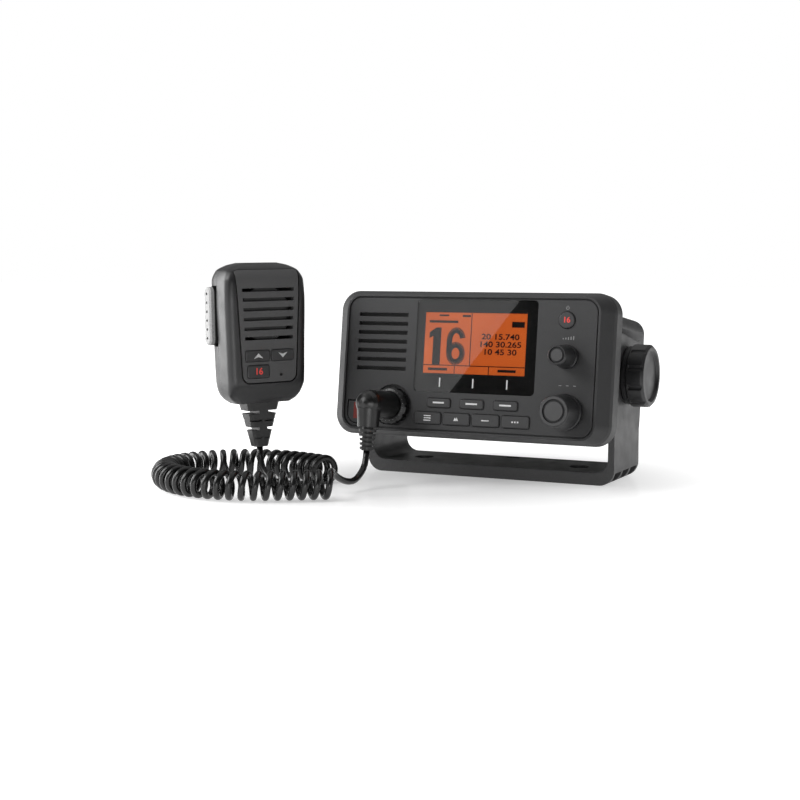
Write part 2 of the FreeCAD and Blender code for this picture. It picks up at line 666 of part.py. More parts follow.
def main_board():
    y0, y1 = deep(40.0), deep(BEZEL_DEPTH + HOUSING_DEPTH - HOUSING_WALL - 0.3)
    z = -HOUSING_H / 2.0 + HOUSING_WALL + 7.6
    board = box(-56, y0, z, 56, y1, z + 1.6)
    posts = []
    for x in (-50, 50):
        for y in (y0 + 4, y1 - 4):
            posts.append(rod((x, y, -HOUSING_H / 2.0 + HOUSING_WALL), (0, 0, 1), 6.0, 7.6))
    return board.fuse(posts)


def shield_can():
    z = -HOUSING_H / 2.0 + HOUSING_WALL + 9.2
    can = box(-30, deep(52), z, 34, deep(92), z + 12)
    return can.cut(box(-29.4, deep(52.6), z - 1, 33.4, deep(91.4), z + 11.4))


def handset_socket():
    """Panel socket: threaded nose, flange behind the panel and contact block."""
    x, z = SOCKET_AT
    nose = RING_FRONT - 2.2
    start = (x, deep(-nose), z)
    r = SOCKET_D / 2.0 - 0.1
    back = nose + PANEL_T
    profile = [(6.4, 0), (r - 0.6, 0), (r - 0.6, nose + 2.0), (r, nose + 2.0), (r, back),
               (r + 1.6, back), (r + 1.6, back + 2.0), (r - 1.0, back + 2.0),
               (r - 1.0, back + 7.0), (0, back + 7.0), (0, 9.0), (6.4, 9.0)]
    return turned(profile, start, (0, 1, 0))


def rear_socket(at, d, flange_d, length, bore_d):
    """Turned rear socket: flange on the housing's pad, barrel and open mouth."""
    end = BEZEL_DEPTH + HOUSING_DEPTH
    start = (at[0], deep(end - HOUSING_WALL - 2.0), at[1])
    r = d / 2.0
    step = HOUSING_WALL + 2.0
    profile = [(0, 0), (r - 0.1, 0), (r - 0.1, step), (flange_d / 2.0, step), (flange_d / 2.0, step + 2.0),
               (r, step + 2.0), (r, step + length), (bore_d / 2.0, step + length), (bore_d / 2.0, step + 3.0),
               (0, step + 3.0)]
    return turned(profile, start, (0, 1, 0))


# Plug on the cord's end at the head

def lock_ring():
    """Threaded ring that holds the plug on the socket, with grip hollows round it."""
    x, z = SOCKET_AT
    back = SOCKET_WELL_DEPTH - 0.5
    length = back + RING_FRONT
    r = RING_D / 2.0
    profile = [(SOCKET_D / 2.0 + 0.1, 0), (r, 0), (r, length - 1.6), (r - 1.2, length - 0.4), (r - 2.4, length),
               (PLUG_D / 2.0 + 0.3, length), (PLUG_D / 2.0 + 0.3, length - 1.2),
               (SOCKET_D / 2.0 + 0.1, length - 1.2)]
    ring = turned(profile, (x, deep(back), z), (0, -1, 0))
    cuts = []
    for i in range(RING_GRIPS):
        a = 2.0 * math.pi * i / RING_GRIPS
        px, pz = x + (r + 0.45) * math.cos(a), z + (r + 0.45) * math.sin(a)
        cuts.append(rod((px, deep(-RING_FRONT - 1), pz), (0, 1, 0), 2.0, length + 2))
    return ring.cut(cuts)


def plug_body():
    """Moulded elbow: barrel out of the socket with a domed end, and the boot under it."""
    x, z = SOCKET_AT
    r = PLUG_D / 2.0
    flange = SOCKET_D / 2.0 - 0.6
    front = PLUG_ELBOW_OUT - RING_FRONT + 2.0
    dome = [(r * math.cos(math.radians(a)), front + r * math.sin(math.radians(a))) for a in (22.5, 45, 67.5)]
    barrel = turned([(0, -5.8), (6.2, -5.8), (6.2, 0), (flange, 0), (flange, 0.6), (r, 0.6), (r, front)]
                    + dome + [(0, front + r)], (x, deep(-RING_FRONT + 2.0), z), (0, -1, 0))
    boot = cone((x, boot_y(), z), (0, 0, -1), PLUG_D - 1.2, BOOT_D, z - BOOT_BOTTOM)
    return fused(barrel, boot)


def boot_y():
    return deep(-PLUG_ELBOW_OUT)


def plug_relief():
    """Ribbed sleeve under the boot: a soft core with flat rings."""
    x = SOCKET_AT[0]
    y = boot_y()
    length = BOOT_BOTTOM - RELIEF_BOTTOM
    rings = [(1.2, 5.1), (3.7, 5.0), (6.2, 4.4), (8.7, 4.3), (11.1, 4.1)]
    profile = [(0, 0), (3.0, 0)]
    for h, r in rings:
        profile += [(3.0, h), (r, h), (r - 0.2, h + 1.5), (3.0, h + 1.5)]
    profile += [(3.0, length), (0, length)]
    return turned(profile, (x, y, BOOT_BOTTOM), (0, 0, -1))


# Handset, drawn upright with its face towards -Y

def handset_outer():
    """Lofted body: flat face, rounded back, domed top and drawn-in chin."""
    wires = []
    for z, half, front, back, rf, rb in HANDSET_SECTIONS:
        corners = [(-half, -front, rf), (half, -front, rf), (half, back, rb), (-half, back, rb)]
        wires.append(rounded_wire(corners, lambda x, y, z=z: V(x, y, z)))
    return Part.makeLoft(wires, True, True)


def insert_outline(extra):
    """Tapered panel on the handset's face, running out over the top."""
    top = HANDSET_SECTIONS[-1][0] + 4.0
    slope = (INSERT_TOP_HALF - INSERT_BOTTOM_HALF) / (72.5 - INSERT_BOTTOM)
    wide = INSERT_BOTTOM_HALF + slope * (top - INSERT_BOTTOM) + extra
    low = INSERT_BOTTOM_HALF + extra
    r = INSERT_CORNER_R + extra
    return [(-low, INSERT_BOTTOM - extra, r), (low, INSERT_BOTTOM - extra, r), (wide, top, 0), (-wide, top, 0)]


def handset_hollow():
    room = rectangle((0, 41.25), (37.0, 58.5), 3.0)
    return plate(room, -HANDSET_FRONT + 4.0, 9.0)


def lever_outline(extra):
    """Round-ended talk lever, seen from the side."""
    half = LEVER_W / 2.0 + extra
    return [(LEVER_AT - half, LEVER_BOTTOM - extra, half * 0.96), (LEVER_AT + half, LEVER_BOTTOM - extra, half * 0.96),
            (LEVER_AT + half, LEVER_TOP + extra, half * 0.96), (LEVER_AT - half, LEVER_TOP + extra, half * 0.96)]


def lever_prism(extra, x0, x1):
    wire = rounded_wire(lever_outline(extra), lambda y, z: V(x0, y, z))
    return Part.Face(wire).extrude(V(x1 - x0, 0, 0))


def talk_lever():
    bar = lever_prism(0.0, -LEVER_OUT + 0.9, -LEVER_IN)
    crown = Part.makeLoft([
        rounded_wire(lever_outline(0.0), lambda y, z: V(-LEVER_OUT + 0.9, y, z)),
        rounded_wire(lever_outline(-1.1), lambda y, z: V(-LEVER_OUT, y, z))], True, True)
    return fused(bar, crown)


def handset_shells():
    """Front and back shells split at the parting plane, and the panel let into the front."""
    outer = handset_outer()
    big = 60.0
    ahead = box(-big, -big, -5, big, 0, 2 * big)
    hollow = handset_hollow()
    panel_cut = plate(insert_outline(INSERT_GAP), -HANDSET_FRONT - 5, -HANDSET_FRONT + 3.2)
    lever_cut = lever_prism(LEVER_GAP, -40, -LEVER_IN + LEVER_TRAVEL + LEVER_GAP).fuse(
        box(-40, LEVER_AT - LEVER_W / 2.0 - 2.4, LEVER_BOTTOM - 0.4, -22.6, LEVER_AT, LEVER_TOP + 0.4))
    front = outer.common(ahead).cut(hollow).cut(panel_cut).cut(lever_cut)
    back = outer.cut(ahead).cut(hollow).cut(lever_cut)
    for x, z in HS_SCREWS:
        front = front.cut(rod((x, 1, z), (0, -1, 0), 2.3, 7))
        back = back.cut(rod((x, -1, z), (0, 1, 0), 2.6, 40))
        back = back.cut(rod((x, 8.0, z), (0, 1, 0), 4.6, 40))
    panel = outer.common(plate(insert_outline(0.0), -HANDSET_FRONT - 5, -HANDSET_FRONT + 3.0))
    return front.cut(face_holes()), back, panel.cut(face_holes())


def face_holes():
    """Sound slots, key holes and the microphone's port through the handset's face."""
    y0, y1 = -HANDSET_FRONT - 2, -HANDSET_FRONT + 4.5
    cuts = []
    for i in range(HS_SLOT_COUNT):
        half = HS_SLOT_HALF[0] + (HS_SLOT_HALF[1] - HS_SLOT_HALF[0]) * i / (HS_SLOT_COUNT - 1.0)
        at = (0.0, HS_SLOT_TOP - i * HS_SLOT_PITCH)
        cuts.append(plate(rectangle(at, (2 * half, HS_SLOT_H), 0), y0, y1))
    for at, size in handset_keys():
        cuts.append(plate(grown(at, size, 1.2, KEY_GAP), y0, y1))
    cuts.append(rod((HS_MIC_AT[0], y0, HS_MIC_AT[1]), (0, 1, 0), 1.8, y1 - y0))
    return group(cuts)


def handset_keys():
    """Places and sizes of the up, down and channel keys."""
    z, h = HS_KEY_ROW
    gap = 0.45
    left = (-HS_KEY_HALF, HS_KEY_SPLIT - gap)
    right = (HS_KEY_SPLIT + gap, HS_KEY_HALF)
    keys = []
    for x0, x1 in (left, right):
        keys.append((((x0 + x1) / 2.0, z), (x1 - x0, h)))
    keys.append((HS_CHANNEL_AT, HS_CHANNEL_SIZE))
    return keys


def handset_key(at, size):
    front = -HANDSET_FRONT
    return skin([(front - 0.7, grown(at, size, 1.2, -0.5)), (front - 0.2, rectangle(at, size, 1.2)),
                 (front + 5.0, rectangle(at, size, 1.2))])


def handset_insides():
    board = plate(rectangle((0, 42.5), (36.0, 54.0), 2.0), -HANDSET_FRONT + 12.0, -HANDSET_FRONT + 13.4)
    start = (0, -HANDSET_FRONT + 4.2, HS_SLOT_TOP - 2.5 * HS_SLOT_PITCH)
    speaker_body = turned([(0, 0), (15.6, 0), (16.4, 0.8), (16.4, 2.6), (9.0, 4.4), (9.0, 7.6), (0, 7.6)],
                          start, (0, 1, 0))
    mic = rod((HS_MIC_AT[0], -HANDSET_FRONT + 4.6, HS_MIC_AT[1]), (0, 1, 0), 5.8, 7.2)
    mat = plate([(-16.6, 14.4, 1), (3.2, 14.4, 1), (3.2, 23.2, 1), (16.6, 23.2, 1),
                 (16.6, 30.8, 1), (-16.6, 30.8, 1)], -HANDSET_FRONT + 6.0, -HANDSET_FRONT + 11.8)
    return board, speaker_body, mic, mat


def handset_hook():
    """Round-headed hanging button screwed to the back."""
    y = 16.02
    return turned([(0, 0), (4.4, 0), (3.4, 1.2), (3.4, 3.0), (7.6, 4.2), (7.6, 6.2), (6.6, 7.0), (0, 7.0)],
                  (0, y, 57.0), (0, 1, 0))


def handset_screws():
    screws = []
    for x, z in HS_SCREWS:
        screws.append(rod((x, 8.0, z), (0, -1, 0), 2.2, 13.5).fuse(rod((x, 8.0, z), (0, 1, 0), 4.2, 1.6)))
    return group(screws)


def cut_corner_wire(w, d, c, z):
    """Level rectangle with cut corners, from its half width and half depth."""
    corners = [(-w + c, -d), (w - c, -d), (w, -d + c), (w, d - c), (w - c, d), (-w + c, d), (-w, d - c), (-w, -d + c)]
    points = [V(x, y, z) for x, y in corners]
    return Part.makePolygon(points + [points[0]])


def handset_relief():
    """Tapered sleeve under the chin, cut into segments on a narrow web."""
    wires = []
    for z, t in ((0.0, 0.0), (-HS_RELIEF_L, 1.0)):
        w = HS_RELIEF_TOP[0] + (HS_RELIEF_TIP[0] - HS_RELIEF_TOP[0]) * t
        d = HS_RELIEF_TOP[1] + (HS_RELIEF_TIP[1] - HS_RELIEF_TOP[1]) * t
        wires.append(cut_corner_wire(w / 2.0, d / 2.0, HS_RELIEF_CORNER, z))
    body = Part.makeLoft(wires, True, True)
    for z, h, web in ((-5.6, 1.9, 5.6), (-15.2, 1.9, 5.0)):
        for side in (-1, 1):
            body = body.cut(box(*sorted_box(side * web / 2.0, -10, z + h / 2.0, side * 20, 10, z - h / 2.0)))
    for z, web in ((-10.4, 1.8), (-20.4, 1.8)):
        for side in (-1, 1):
            for face in (-1, 1):
                body = body.cut(box(*sorted_box(side * web / 2.0, face * 3.4, z + 0.5,
                                                side * 20, face * 10, z - 0.5)))
    return body


def sorted_box(x0, y0, z0, x1, y1, z1):
    return (min(x0, x1), min(y0, y1), min(z0, z1), max(x0, x1), max(y0, y1), max(z0, z1))


# Cord

def arc_edge(start, way, end):
    """Arc that leaves start along way and reaches end."""
    chord = end - start
    off = chord - way * chord.dot(way)
    if off.Length < 1e-5:
        return Part.LineSegment(start, end).toShape()
    half = way.getAngle(chord)
    to_centre = off - chord * (off.dot(chord) / chord.dot(chord))
    sag = chord.Length / 2.0 * math.tan(half / 2.0)
    middle = start + chord * 0.5 - to_centre.normalize() * sag
    return Part.Arc(start, middle, end).toShape()


def bent_path(points):
    """Straight runs joined by tangent arcs: the edges and the arcs' radii."""
    edges, radii = [], []
    at = points[0]
    for before, here, after in zip(points, points[1:], points[2:]):
        into = here - before
        away = after - here
        setback = 0.45 * min(into.Length, away.Length)
        into.normalize()
        away.normalize()
        turn = into.getAngle(away)
        start, end = here - into * setback, here + away * setback
        edges.append(Part.LineSegment(at, start).toShape())
        edges.append(arc_edge(start, into, end))
        radii.append(setback / math.tan(turn / 2.0))
        at = end
    edges.append(Part.LineSegment(at, points[-1]).toShape())
    return edges, radii


def tube(edges, d, sides):
    """Faceted tube along the edges."""
    first = edges[0]
    start = first.valueAt(first.FirstParameter)
    way = first.tangentAt(first.FirstParameter)
    turn = FreeCAD.Rotation(V(0, 0, 1), way)
    ring = []
    for i in range(sides):
        a = 2.0 * math.pi * (i + 0.5) / sides
        ring.append(start + turn.multVec(V(math.cos(a), math.sin(a), 0)) * (d / 2.0))
    shell = Part.BRepOffsetAPI.MakePipeShell(Part.Wire(edges))
    shell.add(Part.makePolygon(ring + [ring[0]]))
    shell.build()
    shell.makeSolid()
    return shell.shape()


def section_area(d, sides):
    return 0.5 * sides * (d / 2.0) ** 2 * math.sin(2.0 * math.pi / sides)


def say_tube(name, shape, edges, d, sides, radii):
    length = sum(e.Length for e in edges)
    share = shape.Volume / (section_area(d, sides) * length)
    print("%s: length %.1f, volume share %.4f, radii %s" %
          (name, length, share, " ".join("%.1f" % r for r in radii)))


def curl_point(route, lengths, total, turns):
    """Point of the curls' wire after a number of turns, counted against the clock."""
    s = total * turns / (CURLS + LAST_CURL)
    for edge, length in zip(route, lengths):
        if s <= length or edge is route[-1]:
            break
        s -= length
    u = edge.FirstParameter + (edge.LastParameter - edge.FirstParameter) * s / length
    at, way = edge.valueAt(u), edge.tangentAt(u)
    left = V(-way.y, way.x, 0)
    r = (CURL_D - CORD_D) / 2.0
    phase = -math.pi / 2.0 - 2.0 * math.pi * turns
    return at + left * (r * math.cos(phase)) + V(0, 0, r * math.sin(phase))


def curly_cord():
    """One unbroken wire: half turns of two arcs each, with a straight end at both ends."""
    height = CURL_D / 2.0 + 0.1
    route, _ = bent_path([V(x, y, height) for x, y in CURL_ROUTE])
    lengths = [e.Length for e in route]
    total = sum(lengths)
    turns = CURLS + LAST_CURL

    def at(t):
        return curl_point(route, lengths, total, t)

    def way(t):
        step = 0.002
        lo, hi = max(t - step, 0.0), t + step
        return (at(hi) - at(lo)).normalize()

    stations = [i * 0.5 for i in range(int(2 * turns) + 1)]
    if turns - stations[-1] > 0.1:
        stations.append(turns)
    start, end = at(stations[0]), at(stations[-1])
    edges = [Part.LineSegment(start - way(0.0) * CORD_D, start).toShape()]
    for t0, t1 in zip(stations, stations[1:]):
        edges += biarc(at(t0), way(t0), at(t1), way(t1))
    last = way(stations[-1])
    edges.append(Part.LineSegment(end, end + last * CORD_D).toShape())
    shape = tube(edges, CORD_D, CORD_SIDES)
    print("curly_cord: gap to itself %.2f" % least_gap(edges))
    say_tube("curly_cord", shape, edges, CORD_D, CORD_SIDES, [])
    return shape, start - way(0.0) * CORD_D, way(0.0), end + last * CORD_D, last


def biarc(p0, t0, p1, t1):
    """Two arcs that leave p0 along t0 and reach p1 along t1."""
    v = p1 - p0
    both = t0 + t1
    c = 2.0 * (1.0 - t0.dot(t1))
    b = v.dot(both)
    reach = (-b + math.sqrt(b * b + c * v.dot(v))) / c
    joint = (p0 + p1 + (t0 - t1) * reach) * 0.5
    middle_way = (joint - (p0 + t0 * reach)).normalize()
    return [arc_edge(p0, t0, joint), arc_edge(joint, middle_way, p1)]


def least_gap(edges):
    """Least distance between the wire's surfaces, past half a turn along it."""
    points = []
    for e in edges:
        n = max(2, int(e.Length / 1.4))
        for i in range(n):
            u = e.FirstParameter + (e.LastParameter - e.FirstParameter) * i / n
            p = e.valueAt(u)
            points.append((p.x, p.y, p.z))
    skip = int(math.pi * (CURL_D - CORD_D) / 2.0 / 1.4)
    best = 1e9
    for i, a in enumerate(points):
        for b in points[i + skip:]:
            dx = a[0] - b[0]
            if dx * dx < best:
                d = dx * dx + (a[1] - b[1]) ** 2 + (a[2] - b[2]) ** 2
                if d < best:
                    best = d
    return math.sqrt(best) - CORD_D


def cords():
    """The curls, and the plain leads that join them to the handset and the plug."""
    curls, start, start_way, end, end_way = curly_cord()
    tip = HANDSET.multVec(V(0, 0, -HS_RELIEF_L))
    down = HANDSET.Rotation.multVec(V(0, 0, -1))
    lead_points = [tip, tip + down * HANDSET_LEAD_START] + [V(*p) for p in HANDSET_LEAD_ROUTE]
    lead_points += [start - start_way * HANDSET_LEAD_END, start]
    edges, radii = bent_path(lead_points)
    handset_lead = tube(edges, CORD_D, LEAD_SIDES)
    say_tube("handset_lead", handset_lead, edges, CORD_D, LEAD_SIDES, radii)
    plug_tip = HEAD.multVec(V(SOCKET_AT[0], boot_y(), RELIEF_BOTTOM))
    plug_down = HEAD.Rotation.multVec(V(0, 0, -1))
    lead_points = [end, end + end_way * PLUG_LEAD_START] + [V(*p) for p in PLUG_LEAD_ROUTE]
    lead_points += [plug_tip + plug_down * PLUG_LEAD_END, plug_tip]
    edges, radii = bent_path(lead_points)
    plug_lead = tube(edges, CORD_D, LEAD_SIDES)
    say_tube("plug_lead", plug_lead, edges, CORD_D, LEAD_SIDES, radii)
    return handset_lead, curls, plug_lead


def build_bracket():
    save("bracket", bracket())
    save("tilt_washers", group([washer(-1), washer(1)]))
    for name, side in (("left_knob", -1), ("right_knob", 1)):
        save(name, tilt_knob(side))
        save(name + "_stud", stud(side))


def build_head():
    pieces = {
        "front_bezel": front_bezel(), "rear_housing": rear_housing(), "case_seal": case_seal(),
        "housing_screws": housing_screws(), "side_inserts": side_inserts(),
        "display_glass": plate(grown(GLASS_AT, GLASS_SIZE, GLASS_R, -0.1), deep(0), deep(GLASS_T)),
        "lcd_panel": plate(rectangle(LCD_AT, LCD_SIZE, 0.5), deep(GLASS_T + LCD_GAP),
                           deep(PANEL_T + 0.2 - LCD_SEAT)),
        "lcd_frame": plate(rectangle(LCD_AT, LCD_FRAME_SIZE, 1.0), deep(PANEL_T + 0.2),
                           deep(PANEL_T + 0.2 + LCD_FRAME_T)),
        "power_key": power_key(), "keypad_mat": keypad_mat(),
        "volume_knob": dial(VOLUME_AT, VOLUME_D, VOLUME_OUT),
        "volume_shaft": dial_shaft(VOLUME_AT, VOLUME_OUT), "volume_encoder": encoder(VOLUME_AT),
        "select_knob": dial(SELECT_AT, SELECT_D, SELECT_OUT),
        "select_shaft": dial_shaft(SELECT_AT, SELECT_OUT), "select_encoder": encoder(SELECT_AT),
        "speaker": speaker(), "slot_membrane": slot_membrane(),
        "front_board": front_board(), "main_board": main_board(), "shield_can": shield_can(),
        "distress_door": distress_door(), "distress_button": distress_button(),
        "handset_socket": handset_socket(),
        "antenna_socket": rear_socket(ANTENNA_AT, ANTENNA_D, 20.0, ANTENNA_L, 11.0),
        "power_inlet": rear_socket(POWER_AT, 16.0, 20.0, 9.0, 12.0),
        "data_socket": rear_socket(DATA_AT, 14.0, 18.0, 8.0, 10.0),
        "plug_body": plug_body(), "plug_relief": plug_relief(), "lock_ring": lock_ring(),
    }
    for i, at in enumerate(SOFT_KEYS):
        pieces["soft_key_%d" % (i + 1)] = key(at, SOFT_KEY_SIZE)
    for i, at in enumerate(FUNCTION_KEYS):
        pieces["function_key_%d" % (i + 1)] = key(at, FUNCTION_KEY_SIZE)
    for name, shape in pieces.items():
        save(name, moved(shape, HEAD))


def build_handset():
    front, back, panel = handset_shells()
    board, speaker_body, mic, mat = handset_insides()
    keys = [handset_key(at, size) for at, size in handset_keys()]
    pieces = {
        "handset_front": front, "handset_back": back, "handset_panel": panel,
        "handset_board": board, "handset_speaker": speaker_body, "handset_microphone": mic,
        "handset_mat": mat, "handset_up_key": keys[0], "handset_down_key": keys[1],
        "handset_channel_key": keys[2], "talk_lever": talk_lever(), "handset_hook": handset_hook(),
        "handset_screws": handset_screws(), "handset_relief": handset_relief(),
    }
    for name, shape in pieces.items():
        save(name, moved(shape, HANDSET))


def build_cords():
    handset_lead, curls, plug_lead = cords()
    save("handset_lead", handset_lead)
    save("curly_cord", curls)
    save("plug_lead", plug_lead)


os.makedirs("parts", exist_ok=True)
build_bracket()
build_head()
build_handset()
build_cords()
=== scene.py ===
import bpy
import bmesh
import math
from mathutils import Matrix, Vector


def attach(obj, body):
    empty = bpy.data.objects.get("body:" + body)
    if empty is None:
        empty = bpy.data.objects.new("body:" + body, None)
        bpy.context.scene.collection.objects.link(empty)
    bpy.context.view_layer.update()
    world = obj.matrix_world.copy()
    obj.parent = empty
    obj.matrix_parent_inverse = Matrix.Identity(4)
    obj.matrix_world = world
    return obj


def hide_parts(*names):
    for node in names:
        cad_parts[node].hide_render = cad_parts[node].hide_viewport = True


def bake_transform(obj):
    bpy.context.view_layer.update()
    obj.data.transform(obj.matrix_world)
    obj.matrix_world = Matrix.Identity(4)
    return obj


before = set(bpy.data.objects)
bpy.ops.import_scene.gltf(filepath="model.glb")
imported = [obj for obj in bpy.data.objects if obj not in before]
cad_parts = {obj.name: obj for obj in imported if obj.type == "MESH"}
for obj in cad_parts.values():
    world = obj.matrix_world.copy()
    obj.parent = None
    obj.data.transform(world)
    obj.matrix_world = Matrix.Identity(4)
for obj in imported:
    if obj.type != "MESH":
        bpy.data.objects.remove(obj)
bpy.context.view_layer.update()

# The scene is in metres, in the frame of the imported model. Sizes that are drawn with are in
# millimetres, and MM scales them.
MM = 0.001

# The radio's head leans back about the tilt axis. Its local frame has x across,
# y behind the axis and z up from it. FACE has the same axes, with y behind the panel's face.
PIVOT_Z = 61.5 * MM
HEAD_TILT = math.radians(7.4)
FACE_TO_PIVOT = 53.2 * MM
HEAD = Matrix.Translation((0, 0, PIVOT_Z)) @ Matrix.Rotation(-HEAD_TILT, 4, "X")
FACE = HEAD @ Matrix.Translation((0, -FACE_TO_PIVOT, 0))

# The handset's local frame has its face towards -Y and z up from its chin.
# HANDSET_FACE has the same axes, with y behind the face.
HANDSET_AT = Vector((-109.5, -98.3, 46.9)) * MM
HANDSET_YAW = math.radians(60.0)
HANDSET_ROLL = math.radians(-0.75)
HANDSET_FRONT = 14.0 * MM
HANDSET = (Matrix.Translation(HANDSET_AT) @ Matrix.Rotation(HANDSET_YAW, 4, "Z")
           @ Matrix.Rotation(HANDSET_ROLL, 4, "Y"))
HANDSET_FACE = HANDSET @ Matrix.Translation((0, -HANDSET_FRONT, 0))
PLAIN = Matrix.Identity(4)


# Camera, fitted to the photograph

CAMERA_LENS = 66.14
CAMERA_AT = (0.33276, -0.81264, 0.12665)
CAMERA_TURN = (math.radians(84.61), 0.0, math.radians(26.25))


def make_camera():
    data = bpy.data.cameras.new("camera")
    data.lens = CAMERA_LENS
    data.sensor_width = 36.0
    data.clip_start = 0.01
    data.clip_end = 50.0
    camera = bpy.data.objects.new("camera", data)
    camera.location = CAMERA_AT
    camera.rotation_euler = CAMERA_TURN
    bpy.context.scene.collection.objects.link(camera)
    bpy.context.scene.camera = camera
    return camera


camera = make_camera()


# Materials

WHITE = (1.0, 1.0, 1.0, 1.0)
SPECKLE = 0.12             # share by which a moulded colour wavers
METAL_EDGE = 0.4           # rounded edge of bare metal, in millimetres


class Nodes:
    """A material's node tree with short calls for the nodes used here."""

    def __init__(self, name):
        self.material = bpy.data.materials.new(name)
        self.material.use_nodes = True
        self.tree = self.material.node_tree
        self.shader = self.tree.nodes["Principled BSDF"]
        self.place = self.add("ShaderNodeTexCoord").outputs["Object"]

    def add(self, kind, **inputs):
        node = self.tree.nodes.new(kind)
        for key, value in inputs.items():
            node.inputs[key.replace("_", " ")].default_value = value
        return node

    def link(self, source, target):
        self.tree.links.new(source, target)

    def noise(self, size, detail=2.0):
        """Noise with features of the given size in metres."""
        node = self.add("ShaderNodeTexNoise", Scale=1.0 / size, Detail=detail)
        self.link(self.place, node.inputs["Vector"])
        return node.outputs["Fac"]

    def ramp(self, source, stops):
        node = self.tree.nodes.new("ShaderNodeValToRGB")
        elements = node.color_ramp.elements
        while len(elements) < len(stops):
            elements.new(0.5)
        for element, (place, colour) in zip(elements, stops):
            element.position = place
            element.color = (*colour, 1.0)
        self.link(source, node.inputs["Fac"])
        return node.outputs["Color"]

    def spread(self, source, low, high):
        """Maps 0.3..0.7 of a noise to low..high."""
        return self.mapped(source, 0.3, 0.7, low, high)

    def mapped(self, source, start, end, low, high):
        """Maps start..end of a value to low..high."""
        node = self.add("ShaderNodeMapRange", From_Min=start, From_Max=end, To_Min=low, To_Max=high)
        self.link(source, node.inputs["Value"])
        return node.outputs["Result"]

    def calculate(self, operation, first, second):
        node = self.tree.nodes.new("ShaderNodeMath")
        node.operation = operation
        self.link(first, node.inputs[0])
        self.link(second, node.inputs[1])
        return node.outputs["Value"]

    def against(self, operation, source, vector):
        """A vector operation on a source and a fixed vector."""
        node = self.tree.nodes.new("ShaderNodeVectorMath")
        node.operation = operation
        node.inputs[1].default_value = vector
        self.link(source, node.inputs[0])
        return node

    def bump(self, source, height, edge=0.0):
        """Bump of the given height in metres, on edges rounded by the given radius."""
        node = self.add("ShaderNodeBump", Strength=1.0, Distance=height)
        self.link(source, node.inputs["Height"])
        if edge:
            bevel = self.add("ShaderNodeBevel", Radius=edge)
            bevel.samples = 4
            self.link(bevel.outputs["Normal"], node.inputs["Normal"])
        self.link(node.outputs["Normal"], self.shader.inputs["Normal"])


def moulded(name, colour, rough, grain=0.35, height=0.012, edge=0.5):
    """Moulded plastic or rubber: fine grain, faint speckle, uneven gloss and rounded edges."""
    n = Nodes(name)
    fine = n.noise(grain * MM, 3.0)
    low = tuple(c * (1.0 - SPECKLE) for c in colour)
    high = tuple(c * (1.0 + SPECKLE) for c in colour)
    n.link(n.ramp(fine, [(0.32, low), (0.68, high)]), n.shader.inputs["Base Color"])
    n.link(n.spread(n.noise(9 * MM), rough - 0.05, rough + 0.05), n.shader.inputs["Roughness"])
    n.bump(fine, height * MM, edge * MM)
    return n.material


# Nearer the handset's middle than this, the lever is painted black as painted shade of the gap beside
# it.
LEVER_CROWN_X = 25.3 * MM      # where the talk lever's crown starts, out from the handset's middle


def lever_with_painted_side_shade():
    """Pale speckled rubber crown, painted black nearer the handset's middle as painted shade of the gap
    beside the lever; split across the handset.
    """
    n = Nodes("lever_rubber")
    fine = n.noise(0.35 * MM, 3.0)
    pale = n.ramp(fine, [(0.32, (0.36, 0.36, 0.36)), (0.68, (0.68, 0.68, 0.68))])
    offset = n.against("SUBTRACT", n.place, HANDSET_AT)
    across = n.against("DOT_PRODUCT", offset.outputs["Vector"], HANDSET.to_3x3() @ Vector((-1, 0, 0)))
    split = n.mapped(across.outputs["Value"], LEVER_CROWN_X, LEVER_CROWN_X + 0.2 * MM, 0.0, 1.0)
    mix = n.tree.nodes.new("ShaderNodeMix")
    mix.data_type = "RGBA"
    # Black for the lever's inner side: painted shade of the gap beside it.
    mix.inputs["A"].default_value = (0.008, 0.008, 0.008, 1.0)
    n.link(split, mix.inputs["Factor"])
    n.link(pale, mix.inputs["B"])
    n.link(mix.outputs["Result"], n.shader.inputs["Base Color"])
    n.link(n.spread(n.noise(9 * MM), 0.55, 0.65), n.shader.inputs["Roughness"])
    n.bump(fine, 0.02 * MM, 0.5 * MM)
    return n.material


def cast_metal(name, colour, rough, grain, height):
    """Bare metal with a fine grain and uneven gloss."""
    n = Nodes(name)
    fine = n.noise(grain * MM, 3.0)
    low = tuple(c * 0.85 for c in colour)
    n.link(n.ramp(fine, [(0.35, low), (0.65, colour)]), n.shader.inputs["Base Color"])
    n.link(n.spread(n.noise(4 * MM), rough - 0.06, rough + 0.06), n.shader.inputs["Roughness"])
    n.shader.inputs["Metallic"].default_value = 1.0
    n.bump(fine, height * MM, METAL_EDGE * MM)
    return n.material


def glass():
    """Tinted window glass, so that what lies behind it looks a little darker."""
    n = Nodes("window_glass")
    n.shader.inputs["Transmission Weight"].default_value = 1.0
    n.shader.inputs["IOR"].default_value = 1.5
    faint = n.ramp(n.noise(30 * MM), [(0.3, (0.50, 0.50, 0.50)), (0.7, (0.56, 0.56, 0.56))])
    n.link(faint, n.shader.inputs["Base Color"])
    n.link(n.spread(n.noise(6 * MM), 0.004, 0.010), n.shader.inputs["Roughness"])
    return n.material


DOT_PITCH = 0.34 * MM
DOT_GAP = 0.02 * MM


